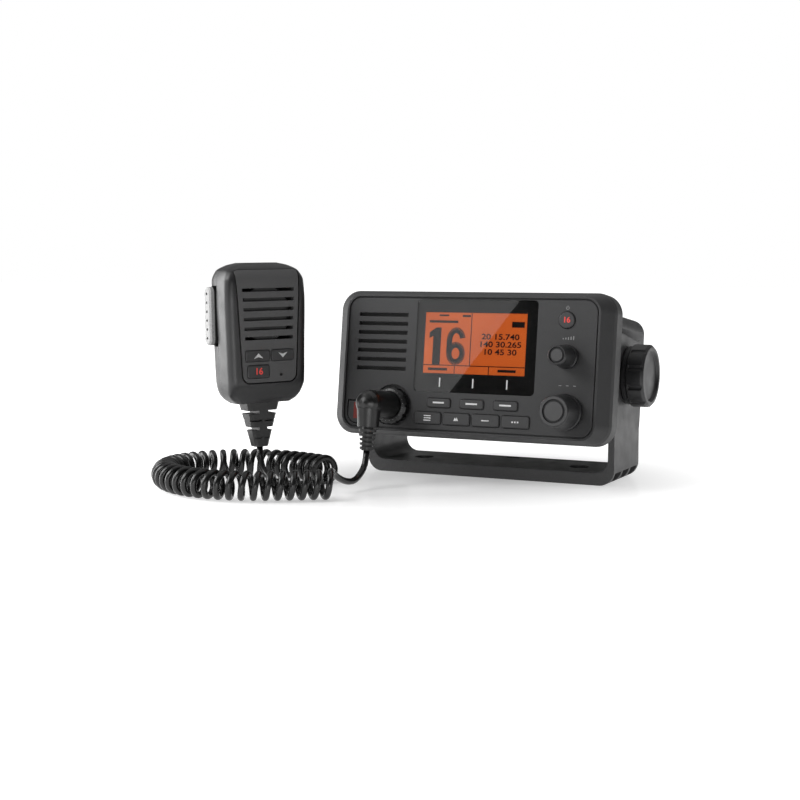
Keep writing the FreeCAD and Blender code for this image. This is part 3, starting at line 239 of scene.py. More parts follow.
def backlit_display():
    """Orange lit panel with a fine dot grid and slightly uneven backlight."""
    n = Nodes("backlit_display")
    glow = n.ramp(n.noise(28 * MM), [(0.3, (0.72, 0.125, 0.014)), (0.7, (0.78, 0.15, 0.017))])
    dots = n.add("ShaderNodeTexBrick", Scale=1.0, Brick_Width=DOT_PITCH, Row_Height=DOT_PITCH,
                 Mortar_Size=DOT_GAP, Color1=WHITE, Color2=(0.95, 0.95, 0.95, 1.0),
                 Mortar=(0.72, 0.72, 0.72, 1.0))
    dots.offset = 0.0
    upright = n.add("ShaderNodeMapping", Rotation=(math.pi / 2, 0, 0))
    n.link(n.place, upright.inputs["Vector"])
    n.link(upright.outputs["Vector"], dots.inputs["Vector"])
    mix = n.tree.nodes.new("ShaderNodeMix")
    mix.data_type = "RGBA"
    mix.blend_type = "MULTIPLY"
    mix.inputs["Factor"].default_value = 1.0
    n.link(glow, mix.inputs["A"])
    n.link(dots.outputs["Color"], mix.inputs["B"])
    n.link(mix.outputs["Result"], n.shader.inputs["Emission Color"])
    n.link(glow, n.shader.inputs["Base Color"])
    n.shader.inputs["Emission Strength"].default_value = 1.0
    n.shader.inputs["Roughness"].default_value = 0.6
    return n.material


def printed(name, colour, rough=0.5, glow=0.0):
    """Ink or a printed mark with faintly uneven cover."""
    n = Nodes(name)
    cover = n.ramp(n.noise(0.5 * MM, 3.0), [(0.3, tuple(c * 0.9 for c in colour)), (0.7, colour)])
    n.link(cover, n.shader.inputs["Base Color"])
    # With a glow, the ink shines as painted light, though ink is no lamp.
    if glow:
        n.link(cover, n.shader.inputs["Emission Color"])
        n.shader.inputs["Emission Strength"].default_value = glow
    n.link(n.spread(n.noise(2 * MM), rough - 0.05, rough + 0.05), n.shader.inputs["Roughness"])
    return n.material


# Finishes. Grain, bump height and rounded edge are in millimetres.
MATERIALS = {
    "panel": moulded("case_plastic_dark", (0.033, 0.033, 0.034), 0.50, grain=0.30, height=0.014),
    "bracket": moulded("bracket_plastic", (0.070, 0.070, 0.071), 0.45, grain=0.45, edge=0.8),
    "case": moulded("cast_case_paint", (0.011, 0.011, 0.012), 0.48, grain=0.6, height=0.02),
    "knob": moulded("knob_plastic", (0.015, 0.015, 0.016), 0.40, grain=0.4, height=0.008, edge=0.7),
    "dial": moulded("dial_rubber", (0.016, 0.016, 0.017), 0.42, grain=0.3, height=0.010, edge=0.25),
    "dial_front": moulded("dial_front_rubber", (0.068, 0.068, 0.069), 0.45, grain=0.3, height=0.010,
                          edge=0.0),
    "key": moulded("key_rubber", (0.040, 0.040, 0.041), 0.55, grain=0.25, height=0.010, edge=0.3),
    "black": moulded("black_plastic", (0.007, 0.007, 0.007), 0.32, grain=0.4, height=0.006, edge=0.4),
    "cord": moulded("cord_jacket", (0.006, 0.006, 0.006), 0.26, grain=0.8, height=0.006, edge=0.0),
    "relief": moulded("relief_rubber", (0.018, 0.018, 0.018), 0.42, grain=0.5, height=0.010, edge=0.35),
    "shell": moulded("handset_plastic", (0.018, 0.018, 0.019), 0.36, grain=0.30, edge=0.6),
    "insert": moulded("handset_panel_plastic", (0.100, 0.100, 0.101), 0.55, grain=0.28, height=0.014,
                      edge=0.3),
    "lever": lever_with_painted_side_shade(),
    "seal": moulded("seal_rubber", (0.015, 0.015, 0.015), 0.65, grain=0.5),
    "red": moulded("red_plastic", (0.42, 0.030, 0.020), 0.40, grain=0.3, height=0.006, edge=0.3),
    "white": moulded("white_plastic", (0.75, 0.74, 0.72), 0.45, grain=0.5, height=0.006, edge=0.2),
    "board": moulded("board_lacquer", (0.02, 0.09, 0.045), 0.35, grain=0.5, height=0.01, edge=0.1),
    "steel": cast_metal("stainless_steel", (0.58, 0.57, 0.56), 0.28, 0.15, 0.002),
    "brass": cast_metal("nickel_brass", (0.62, 0.55, 0.42), 0.30, 0.2, 0.002),
    "glass": glass(),
    "display": backlit_display(),
    "white_print": printed("white_print", (0.80, 0.80, 0.80)),
    # Grey print for the panel's marks, and also the painted highlights on the locking ring's dots.
    "grey_print_and_painted_glints": printed("grey_print_and_painted_glints", (0.30, 0.30, 0.30)),
    # The red print glows a little: painted light, as the ink is no lamp.
    "red_print_painted_glow": printed("red_print_painted_glow", (0.75, 0.06, 0.05), glow=0.25),
    "red_field": printed("red_field", (0.22, 0.018, 0.012), 0.55),
    "mask": printed("window_mask", (0.004, 0.004, 0.004), 0.7),
    "display_ink": printed("display_ink", (0.022, 0.006, 0.003), 0.6),
}

NODE_FINISH = {
    "bracket": ["bracket"],
    "seal": ["tilt_washers", "case_seal", "keypad_mat", "handset_mat", "slot_membrane"],
    "knob": ["left_knob", "right_knob", "handset_hook"],
    "steel": ["left_knob_stud", "right_knob_stud", "housing_screws", "handset_screws", "shield_can"],
    "brass": ["side_inserts", "volume_shaft", "select_shaft", "antenna_socket"],
    "panel": ["front_bezel", "distress_door"],
    "case": ["rear_housing"],
    "glass": ["display_glass"],
    "display": ["lcd_panel"],
    "white": ["lcd_frame"],
    "key": ["soft_key_1", "soft_key_2", "soft_key_3", "function_key_1", "function_key_2",
            "function_key_3", "function_key_4", "power_key", "handset_up_key", "handset_down_key",
            "handset_channel_key"],
    "dial": ["volume_knob", "select_knob"],
    "board": ["front_board", "main_board"],
    "black": ["speaker", "handset_board", "volume_encoder", "select_encoder", "handset_socket",
              "power_inlet", "data_socket", "handset_speaker", "handset_microphone", "lock_ring",
              "plug_body"],
    "red": ["distress_button"],
    "relief": ["plug_relief", "handset_relief"],
    "shell": ["handset_front", "handset_back"],
    "insert": ["handset_panel"],
    "lever": ["talk_lever"],
}


def finish_nodes():
    """Give every CAD node its finish."""
    for finish, names in NODE_FINISH.items():
        for name in names:
            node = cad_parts[name]
            if not node.material_slots:
                node.data.materials.append(MATERIALS[finish])
            for slot in node.material_slots:
                slot.material = MATERIALS[finish]


finish_nodes()


def add_piece(name, mesh, finish, body):
    """A new mesh piece with a finish, riding on a CAD body."""
    mesh.name = name
    mesh.materials.clear()
    mesh.materials.append(MATERIALS[finish])
    piece = bpy.data.objects.new(name, mesh)
    bpy.context.scene.collection.objects.link(piece)
    if body:
        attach(piece, body)
    return piece


# Cord: the handset's lead, the curls and the plug's lead are one smooth line

CORD_D = 3.6
CURL_D = 16.5              # over the outside of the curls
CURLS = 38.5
STEPS_PER_TURN = 14
CORD_SIDES = 14
CORD_RESOLUTION = 3        # points of the smooth line to each control point
ROUTE_RESOLUTION = 16
CURL_LIFT = 0.1            # of the curls over the floor
CORD_LIFT = 0.05
CURL_ROUTE = [(-72.0, -85.0), (-95.0, -76.0), (-118.0, -75.5), (-139.0, -86.0), (-151.5, -105.0),
              (-152.5, -127.0), (-141.0, -147.0), (-119.0, -160.0), (-94.0, -162.5), (-70.0, -153.5),
              (-43.0, -134.0)]
HANDSET_LEAD = [(-109.33, -98.01, 21.40), (-109.2, -98.0, 11.9), (-103.6, -100.2, 4.2),
                (-94.0, -104.0, 1.9), (-82.8, -104.5, 1.85), (-74.96, -98.27, 1.85)]
PLUG_LEAD = [(-46.9, -126.3, 14.8), (-47.8, -119.5, 10.5), (-47.0, -111.0, 6.6),
             (-46.0, -102.5, 5.4), (-45.5, -95.0, 8.8), (-45.5, -88.84, 14.15),
             (-45.5, -87.94, 21.09)]


def smooth_line(points, resolution):
    """Points along a smooth spline with the given control points, in millimetres."""
    curve = bpy.data.curves.new("route", "CURVE")
    curve.dimensions = "3D"
    curve.resolution_u = resolution
    spline = curve.splines.new("NURBS")
    spline.points.add(len(points) - 1)
    for point, place in zip(spline.points, points):
        point.co = (*place, 1.0)
    spline.order_u = 3
    spline.use_endpoint_u = True
    holder = bpy.data.objects.new("route", curve)
    mesh = bpy.data.meshes.new_from_object(holder)
    line = [v.co.copy() for v in mesh.vertices]
    bpy.data.objects.remove(holder)
    bpy.data.curves.remove(curve)
    bpy.data.meshes.remove(mesh)
    return line


def point_along(line, lengths, distance):
    """Point and direction on a line at a distance from its start."""
    for i in range(1, len(line)):
        if distance <= lengths[i] or i == len(line) - 1:
            share = (distance - lengths[i - 1]) / max(1e-9, lengths[i] - lengths[i - 1])
            way = (line[i] - line[i - 1]).normalized()
            return line[i - 1].lerp(line[i], share), way


def curl_points():
    """Control points of the left-handed curls round their middle line."""
    height = CURL_D / 2 + CURL_LIFT
    line = smooth_line([(x, y, height) for x, y in CURL_ROUTE], ROUTE_RESOLUTION)
    lengths = [0.0]
    for before, after in zip(line, line[1:]):
        lengths.append(lengths[-1] + (after - before).length)
    radius = (CURL_D - CORD_D) / 2 / math.cos(math.pi / STEPS_PER_TURN)
    points = []
    for i in range(int(CURLS * STEPS_PER_TURN) + 1):
        turns = i / STEPS_PER_TURN
        at, way = point_along(line, lengths, lengths[-1] * turns / CURLS)
        left = Vector((-way.y, way.x, 0.0)).normalized()
        phase = -math.pi / 2 - 2 * math.pi * turns
        up = Vector((0, 0, radius * math.sin(phase)))
        points.append(at + left * (radius * math.cos(phase)) + up)
    return [(p.x, p.y, max(p.z, CORD_D / 2 + CORD_LIFT)) for p in points]


def tube_mesh(line, diameter, sides):
    """Tube along a line, whose ring is carried forward without twist."""
    mesh = bpy.data.meshes.new("tube")
    work = bmesh.new()
    way = (line[1] - line[0]).normalized()
    across = way.orthogonal().normalized()
    rings = []
    for i, place in enumerate(line):
        ahead = line[min(i + 1, len(line) - 1)] - line[max(i - 1, 0)]
        turn = way.rotation_difference(ahead.normalized())
        way = ahead.normalized()
        across = turn @ across
        up = way.cross(across)
        ring = []
        for k in range(sides):
            a = 2 * math.pi * k / sides
            out = across * math.cos(a) + up * math.sin(a)
            ring.append(work.verts.new(place + out * diameter / 2))
        rings.append(ring)
    for before, after in zip(rings, rings[1:]):
        for k in range(sides):
            j = (k + 1) % sides
            face = work.faces.new((before[k], before[j], after[j], after[k]))
            face.smooth = True
    work.faces.new(rings[0][::-1])
    work.faces.new(rings[-1])
    bmesh.ops.recalc_face_normals(work, faces=work.faces)
    work.to_mesh(mesh)
    work.free()
    return mesh


def make_cord():
    """The whole cord, which passes from the base to the head along the plug's lead."""
    line = smooth_line(HANDSET_LEAD + curl_points() + PLUG_LEAD, CORD_RESOLUTION)
    line = [p * MM for p in line]
    piece = add_piece("cord", tube_mesh(line, CORD_D * MM, CORD_SIDES), "cord", None)
    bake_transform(piece)
    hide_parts("handset_lead", "curly_cord", "plug_lead")


make_cord()


# Printed marks and small relief, drawn in the head's or the handset's frame in millimetres

def prism(outlines, front, back, frame_matrix):
    """Straight-sided pieces with (x, z) outlines between two depths, placed by a frame's matrix."""
    mesh = bpy.data.meshes.new("marks")
    work = bmesh.new()
    for outline in outlines:
        near = [work.verts.new((x * MM, front * MM, z * MM)) for x, z in outline]
        far = [work.verts.new((x * MM, back * MM, z * MM)) for x, z in outline]
        work.faces.new(near)
        work.faces.new(far[::-1])
        for i in range(len(near)):
            j = (i + 1) % len(near)
            work.faces.new((near[j], near[i], far[i], far[j]))
    bmesh.ops.recalc_face_normals(work, faces=work.faces)
    work.transform(frame_matrix)
    work.to_mesh(mesh)
    work.free()
    return mesh


def bar(x, z, w, h):
    """Rectangle's outline round its middle."""
    return [(x - w / 2, z - h / 2), (x + w / 2, z - h / 2),
            (x + w / 2, z + h / 2), (x - w / 2, z + h / 2)]


FIGURE_HEIGHT = 0.7        # of the built-in typeface, for a size of one


def number(text, height, at, depth, frame_matrix, width=1.0, weight=0.0, thick=0.03):
    """Plain figures in the built-in typeface, centred at a point of a face."""
    curve = bpy.data.curves.new("figures", "FONT")
    curve.body = text
    curve.align_x = "CENTER"
    curve.align_y = "CENTER"
    curve.size = height * MM / FIGURE_HEIGHT
    curve.offset = weight * MM
    curve.extrude = thick * MM
    curve.resolution_u = 6
    holder = bpy.data.objects.new("figures", curve)
    mesh = bpy.data.meshes.new_from_object(holder)
    bpy.data.objects.remove(holder)
    x, z = at
    stand = Matrix.Translation((x * MM, depth * MM, z * MM)) @ Matrix.Rotation(math.pi / 2, 4, "X")
    widen = Matrix.Diagonal((width, 1, 1, 1))
    mesh.transform(frame_matrix @ stand @ widen)
    return mesh


def joined(meshes):
    work = bmesh.new()
    for mesh in meshes:
        work.from_mesh(mesh)
    out = bpy.data.meshes.new("joined")
    work.to_mesh(out)
    work.free()
    return out


def stroke(points, width):
    """Quads along a line of points, as one thick stroke."""
    quads = []
    for (x0, z0), (x1, z1) in zip(points, points[1:]):
        length = math.hypot(x1 - x0, z1 - z0)
        nx = -(z1 - z0) / length * width / 2
        nz = (x1 - x0) / length * width / 2
        quads.append([(x0 - nx, z0 - nz), (x1 - nx, z1 - nz),
                      (x1 + nx, z1 + nz), (x0 + nx, z0 + nz)])
    return quads


def ellipse_points(x, z, rx, rz, first, last, count):
    """Points of an ellipse's arc between two angles in degrees."""
    points = []
    for i in range(count + 1):
        a = math.radians(first + (last - first) * i / count)
        points.append((x + rx * math.cos(a), z + rz * math.sin(a)))
    return points


BOLD_STROKE = 3.4


def bold_figures(x, z):
    """Tall heavy one and six, centred at a point."""
    one = [[(x - 8.8, z - 10.6), (x - 3.9, z - 10.6), (x - 3.9, z + 10.6), (x - 6.9, z + 10.6),
            (x - 11.2, z + 7.8), (x - 11.2, z + 4.4), (x - 8.8, z + 5.6)]]
    bowl = stroke(ellipse_points(x + 5.6, z - 4.0, 4.1, 4.9, 0, 360, 36), BOLD_STROKE)
    back = stroke([(x + 1.5, z - 4.0), (x + 1.5, z + 3.7)], BOLD_STROKE)
    crown = stroke(ellipse_points(x + 5.6, z + 3.6, 4.1, 5.6, 180, 12, 20), BOLD_STROKE)
    return one + bowl + back + crown


# Left, right, low and high of the lit display and of the window's glass
LIT = (-27.9, 34.7, -5.1, 29.5)
WINDOW = (-32.2, 41.2, -15.9, 36.9)
MASK_GAP = 0.1             # between the lit marks' field and the black border
MASK_DEPTH = (1.51, 1.56)
INK_DEPTH = 1.62
INK_HALF = 0.02
RULE_T = 0.5
SOFT_ROW = 4.6             # height of the bottom row, over the soft keys
DIVIDER_X = 1.2
SOFT_DIVIDERS_X = (-8.0, 13.0)
BOLD_AT = (-13.4, 10.4)
SMALL_FIGURES = (("20 15.740", 16.2), ("140 30.265", 11.9), ("10 45 30", 7.6))
SMALL_FIGURES_X = 19.2
SMALL_FIGURES_H = 3.1


def display_marks():
    """Plain figures and rules in dark ink on the lit display."""
    left, right, low, high = LIT
    row_top = low + SOFT_ROW
    row_middle = low + SOFT_ROW / 2
    rules = [bar(DIVIDER_X, (row_top + high) / 2, RULE_T, high - row_top),
             bar((left + right) / 2, row_top, right - left, RULE_T)]
    rules += [bar(x, row_middle, RULE_T, SOFT_ROW) for x in SOFT_DIVIDERS_X]
    blocks = [bar(-18.5, row_middle, 12, 1.5), bar(24.0, row_middle, 11, 1.5), bar(-16.0, 28.0, 6, 1.0),
              bar(-2.0, 27.8, 5, 1.2), bar(29.6, 23.4, 7.6, 3.2), bar(-16.0, 24.4, 18, 1.4)]
    meshes = [prism(shapes, INK_DEPTH - INK_HALF, INK_DEPTH + INK_HALF, FACE)
              for shapes in (rules + blocks, bold_figures(*BOLD_AT))]
    for text, z in SMALL_FIGURES:
        meshes.append(number(text, SMALL_FIGURES_H, (SMALL_FIGURES_X, z), INK_DEPTH, FACE,
                             width=1.30, weight=0.10, thick=INK_HALF))
    return joined(meshes)


def window_mask():
    """Black border behind the glass, round the display."""
    left, right, low, high = WINDOW
    x0, x1, z0, z1 = LIT[0] - MASK_GAP, LIT[1] + MASK_GAP, LIT[2] - MASK_GAP, LIT[3] + MASK_GAP
    strips = [bar((left + right) / 2, (low + z0) / 2, right - left, z0 - low),
              bar((left + right) / 2, (high + z1) / 2, right - left, high - z1),
              bar((left + x0) / 2, (z0 + z1) / 2, x0 - left, z1 - z0),
              bar((right + x1) / 2, (z0 + z1) / 2, right - x1, z1 - z0)]
    return prism(strips, *MASK_DEPTH, FACE)


# Each dial's place, how far it stands out, and the radii of its front and its cap
VOLUME_DIAL = ((60.0, 6.1), 17.8, 4.75, 3.348)
SELECT_DIAL = ((60.6, -24.2), 19.8, 7.85, 5.27)
DIAL_SECTORS = 40
DIAL_GROOVE = 1.25         # between the cap and the ring
CAP_DEPTH = (0.15, 0.22)   # of the cap's field, in the dial's hollow front
CAP_GAP = 0.1

# How far a print stands out of its face and sinks into it
PRINT = (0.05, 0.02)
THIN_PRINT = (0.04, 0.02)


def dial_rings(at, front, outer, cap):
    """Bright ring and paler cap on a dial's front."""
    x, z = at
    near, far = CAP_DEPTH
    inner = cap + DIAL_GROOVE
    ring = []
    for i in range(DIAL_SECTORS):
        a0 = 2 * math.pi * i / DIAL_SECTORS
        a1 = 2 * math.pi * (i + 1) / DIAL_SECTORS
        ring.append([(x + r * math.cos(a), z + r * math.sin(a))
                     for r, a in ((outer, a0), (outer, a1), (inner, a1), (inner, a0))])
    field = circle(x, z, cap - CAP_GAP, DIAL_SECTORS)
    return joined([prism(ring, -front - PRINT[0], -front + PRINT[1], FACE),
                   prism([field], -front + near, -front + far, FACE)])


SOFT_KEYS_X = (-15.8, 4.6, 25.1)
TICKS_X = (-16.2, 4.35, 25.05)
TICK_Z = -10.4
TICK_SIZE = (0.7, 5.2)


def glass_ticks():
    """Upright ticks on the glass, over the soft keys."""
    return prism([bar(x, TICK_Z, *TICK_SIZE) for x in TICKS_X], -PRINT[0], PRINT[1], FACE)


def arrow(x, z, up):
    """Broad arrowhead with a hollow base."""
    s = 1 if up else -1
    return [(x, z + s * 1.5), (x - 2.9, z - s * 1.5), (x, z - s * 0.65), (x + 2.9, z - s * 1.5)]


def circle(x, z, r, count=24):
    return [(x + r * math.cos(2 * math.pi * i / count), z + r * math.sin(2 * math.pi * i / count))
            for i in range(count)]


def ring_marks(x, z, r, width, gap, steps=16):
    """Open ring of short strokes, from one side of a gap at the top to the other."""
    out = []
    sweep = (2 * math.pi - 2 * gap) / steps
    for i in range(steps):
        a0 = math.pi / 2 + gap + sweep * i
        a1 = a0 + sweep
        out.append([(x + k * math.cos(a), z + k * math.sin(a))
                    for k, a in ((r, a0), (r + width, a0), (r + width, a1), (r, a1))])
    return out


def panel_marks():
    """Small plain marks by the power key and the dials."""
    shapes = ring_marks(58.5, 33.2, 0.75, 0.25, 0.5) + [bar(58.5, 33.8, 0.28, 1.2)]
    shapes += [bar(56.8 + i * 1.5, 16.2 + i * 0.12, 0.6, 0.7 + i * 0.35) for i in range(5)]
    shapes += [bar(x, -9.6, 1.6, 0.35) for x in (56.4, 60.6, 64.8)]
    return prism(shapes, -THIN_PRINT[0], THIN_PRINT[1], FACE)


KEY_FRONT = -1.0           # depth of the head's key crowns
SOFT_BAR_Z = -22.0
SOFT_BAR_SIZE = (7.0, 0.95)
SOFT_BAR_HALF = 0.04
SIGN_HALF = 0.03


def soft_key_bar(x):
    return prism([bar(x, SOFT_BAR_Z, *SOFT_BAR_SIZE)], KEY_FRONT - SOFT_BAR_HALF,
                 KEY_FRONT + SOFT_BAR_HALF, FACE)


# Menu lines, two peaks, a dash and three dots
FUNCTION_SIGNS = {
    1: [bar(-22.3, z, 4.4, 0.6) for z in (-31.0, -32.3, -29.7)],
    2: [[(-5.9, -32.0), (-3.9, -32.0), (-4.9, -30.0)], [(-4.9, -31.9), (-2.9, -31.9), (-3.9, -29.9)]],
    3: [bar(13.5, -31.0, 4.6, 0.6)],
    4: [bar(29.9 + 1.6 * i, -31.0, 0.9, 0.9) for i in range(3)],
}
HANDSET_KEY_FRONT = -0.70
FIGURE_WEIGHT = 0.12
DOOR_FIELD = (-65.6, -28.6, 9.6, 9.4)


def make_marks():
    add_piece("display_marks", display_marks(), "display_ink", "head")
    add_piece("window_mask", window_mask(), "mask", "head")
    add_piece("volume_front", dial_rings(*VOLUME_DIAL), "dial_front", "volume_dial")
    add_piece("select_front", dial_rings(*SELECT_DIAL), "dial_front", "select_dial")
    add_piece("glass_ticks", glass_ticks(), "white_print", "head")
    add_piece("panel_marks", panel_marks(), "grey_print_and_painted_glints", "head")
    for i, x in enumerate(SOFT_KEYS_X, 1):
        add_piece("soft_key_%d_bar" % i, soft_key_bar(x), "white_print", "soft_%d" % i)
    for i, shapes in FUNCTION_SIGNS.items():
        sign = prism(shapes, KEY_FRONT - SIGN_HALF, KEY_FRONT + SIGN_HALF, FACE)
        add_piece("function_key_%d_sign" % i, sign, "white_print", "function_%d" % i)
    figure = number("16", 3.0, (58.5, 26.4), KEY_FRONT, FACE, weight=FIGURE_WEIGHT)
    add_piece("power_key_figure", figure, "red_print_painted_glow", "power")
    front = HANDSET_KEY_FRONT
    for name, body, x, up in (("up", "up_key", -7.4, True), ("down", "down_key", 8.1, False)):
        shape = prism([arrow(x, 27.2, up)], front - PRINT[0], front + PRINT[1], HANDSET_FACE)
        add_piece("handset_%s_arrow" % name, shape, "white_print", body)
    figure = number("16", 3.6, (-7.3, 18.4), front, HANDSET_FACE, weight=FIGURE_WEIGHT)
    add_piece("handset_channel_figure", figure, "red_print_painted_glow", "channel_key")
    door = prism([bar(*DOOR_FIELD)], -THIN_PRINT[0], THIN_PRINT[1], FACE)
    add_piece("door_field", door, "red_field", "door")


make_marks()


# Handset shells: the CAD's sections joined by a smooth skin, with the same cuts

# height, half width, front, back, front corner, back corner
HANDSET_SECTIONS = [
    (0.0, 17.0, 8.0, 6.5, 3.0, 5.0),
    (2.5, 20.5, 10.2, 9.0, 4.0, 7.0),
    (6.5, 23.3, 12.0, 11.0, 5.0, 9.0),
    (12.5, 24.3, 14.0, 12.5, 5.0, 10.0),
    (34.0, 24.8, 14.0, 14.5, 5.0, 12.0),
    (58.0, 25.4, 14.0, 16.0, 5.0, 13.0),
    (69.0, 24.9, 13.4, 15.5, 5.0, 12.0),
    (74.5, 22.6, 11.4, 13.5, 5.0, 10.0),
    (77.6, 17.5, 8.4, 10.0, 5.0, 8.0),
    (79.0, 12.0, 5.0, 6.0, 4.0, 5.0),
]
LEVELS_PER_SECTION = 7
CORNER_STEPS = 8
INSERT_TOP_HALF = 19.8
INSERT_BOTTOM_HALF = 16.6
INSERT_BOTTOM = 12.2
INSERT_CORNER_R = 4.5
INSERT_TOP = 72.5          # where INSERT_TOP_HALF is measured
INSERT_END = 83.0          # past the handset's top, so that the insert runs out there
LEVER_BOTTOM = 33.0
LEVER_TOP = 66.0
LEVER_AT = 6.5
LEVER_HALF = 4.0
LEVER_GAP = 0.3
LEVER_ROUND = 0.96         # share of its half width that the lever's room is rounded by
LEVER_SIDE_GAP = 0.4
FRONT_Y = -HANDSET_FRONT / MM


def slopes(heights, values):
    """Slopes through the values that never overshoot them."""
    steps = [(b - a) / (q - p) for a, b, p, q in zip(values, values[1:], heights, heights[1:])]
    inner = [0.0 if a * b <= 0 else 2 * a * b / (a + b) for a, b in zip(steps, steps[1:])]
    return [steps[0]] + inner + [steps[-1]]


def handset_levels():
    """The sections with smooth steps between them."""
    heights = [section[0] for section in HANDSET_SECTIONS]
    columns = []
    for k in range(1, 6):
        values = [section[k] for section in HANDSET_SECTIONS]
        columns.append((values, slopes(heights, values)))
    levels = []
    for i in range(len(heights) - 1):
        span = heights[i + 1] - heights[i]
        for step in range(LEVELS_PER_SECTION):
            t = step / LEVELS_PER_SECTION
            row = [heights[i] + t * span]
            for values, ways in columns:
                h00, h10 = 2 * t ** 3 - 3 * t ** 2 + 1, t ** 3 - 2 * t ** 2 + t
                h01, h11 = -2 * t ** 3 + 3 * t ** 2, t ** 3 - t ** 2
                row.append(h00 * values[i] + h10 * span * ways[i]
                           + h01 * values[i + 1] + h11 * span * ways[i + 1])
            levels.append(row)
    levels.append(list(HANDSET_SECTIONS[-1]))
    return levels


def level_outline(half, front, back, front_r, back_r):
    """Rounded outline of one level, from the front right corner round to the front left."""
    corners = ((half - front_r, -front + front_r, front_r), (half - back_r, back - back_r, back_r),
               (-half + back_r, back - back_r, back_r), (-half + front_r, -front + front_r, front_r))
    points = []
    for i, (cx, cy, r) in enumerate(corners):
        for step in range(CORNER_STEPS + 1):
            a = math.radians(90.0 * (i - 1) + 90.0 * step / CORNER_STEPS)
            points.append((cx + r * math.cos(a), cy + r * math.sin(a)))
    return points


def handset_skin():
    """Closed skin through the outlines of all levels."""
    work = bmesh.new()
    rings = []
    for z, half, front, back, front_r, back_r in handset_levels():
        outline = level_outline(half, front, back, front_r, back_r)
        rings.append([work.verts.new((x * MM, y * MM, z * MM)) for x, y in outline])
    for low, high in zip(rings, rings[1:]):
        for k in range(len(low)):
            j = (k + 1) % len(low)
            work.faces.new((low[k], low[j], high[j], high[k]))
    work.faces.new(rings[0][::-1])
    work.faces.new(rings[-1])
    mesh = bpy.data.meshes.new("handset_skin")
    work.to_mesh(mesh)
    work.free()
    return mesh


def rounded(corners, steps=6):
    """Outline through (x, z, radius) corners, with the corners as arcs."""
    points = []
    n = len(corners)
    for i, (x, z, r) in enumerate(corners):
        here = Vector((x, z))
        before = (Vector(corners[i - 1][:2]) - here).normalized()
        after = (Vector(corners[(i + 1) % n][:2]) - here).normalized()
        if r <= 0:
            points.append((x, z))
            continue
        half = before.angle(after) / 2
        centre = here + (before + after).normalized() * (r / math.sin(half))
        start = here + before * (r / math.tan(half)) - centre
        end = here + after * (r / math.tan(half)) - centre
        first = math.atan2(start.y, start.x)
        turn = (math.atan2(end.y, end.x) - first + math.pi) % (2 * math.pi) - math.pi
        for step in range(steps + 1):
            a = first + turn * step / steps
            points.append((centre.x + r * math.cos(a), centre.y + r * math.sin(a)))
    return points


def insert_outline(extra):
    """Outline of the handset's panel, grown by a margin."""
    slope = (INSERT_TOP_HALF - INSERT_BOTTOM_HALF) / (INSERT_TOP - INSERT_BOTTOM)
    wide = INSERT_BOTTOM_HALF + slope * (INSERT_END - INSERT_BOTTOM) + extra
    low = INSERT_BOTTOM_HALF + extra
    r = INSERT_CORNER_R + extra
    return rounded([(-low, INSERT_BOTTOM - extra, r), (low, INSERT_BOTTOM - extra, r),
                    (wide, INSERT_END, 0), (-wide, INSERT_END, 0)])


SLOTS = 6
SLOT_TOP = 64.0
SLOT_PITCH = 5.4
SLOT_H = 1.9
SLOT_HALF = (16.4, 15.2)   # half width of the top and the bottom slot
KEY_HOLES = ((-15.3, 0.05, 27.2, 6.2), (0.95, 15.3, 27.2, 6.2), (-14.2, -0.4, 18.4, 7.2))
KEY_GAP = 0.25
KEY_CORNER_R = 1.2


def face_hole_outlines():
    """The handset panel's speaker slots, key holes and microphone hole."""
    holes = []
    for i in range(SLOTS):
        half = SLOT_HALF[0] + (SLOT_HALF[1] - SLOT_HALF[0]) * i / (SLOTS - 1)
        holes.append(bar(0.0, SLOT_TOP - SLOT_PITCH * i, 2 * half, SLOT_H))
    r = KEY_CORNER_R + KEY_GAP
    for x0, x1, z, h in KEY_HOLES:
        left, right = x0 - KEY_GAP, x1 + KEY_GAP
        low, high = z - h / 2 - KEY_GAP, z + h / 2 + KEY_GAP
        holes.append(rounded([(left, low, r), (right, low, r), (right, high, r), (left, high, r)]))
    holes.append(circle(7.3, 16.1, 0.9, 16))
    return holes


def sideways_prism(outline, x0, x1):
    """Prism with a (y, z) outline, between two places across."""
    mesh = prism([outline], x0, x1, PLAIN)
    turn = Matrix(((0, 1, 0, 0), (1, 0, 0, 0), (0, 0, 1, 0), (0, 0, 0, 1)))
    mesh.transform(turn)
    mesh.flip_normals()
    return mesh


def carved(mesh, cutters, operation="DIFFERENCE"):
    """The mesh with each cutter taken from it, or kept in common with it."""
    piece = bpy.data.objects.new("carved", mesh)
    bpy.context.scene.collection.objects.link(piece)
    helpers = []
    for cutter in cutters:
        helper = bpy.data.objects.new("cutter", cutter)
        bpy.context.scene.collection.objects.link(helper)
        modifier = piece.modifiers.new("cut", "BOOLEAN")
        modifier.object = helper
        modifier.operation = operation
        modifier.solver = "EXACT"
        helpers.append(helper)
    bpy.context.view_layer.update()
    final = piece.evaluated_get(bpy.context.evaluated_depsgraph_get())
    made = bpy.data.meshes.new_from_object(final)
    for helper in helpers + [piece]:
        bpy.data.objects.remove(helper)
    return made


SHARP_ANGLE = math.radians(28.0)


def smooth_faces(mesh):
    mesh.polygons.foreach_set("use_smooth", [True] * len(mesh.polygons))
    mesh.set_sharp_from_angle(angle=SHARP_ANGLE)


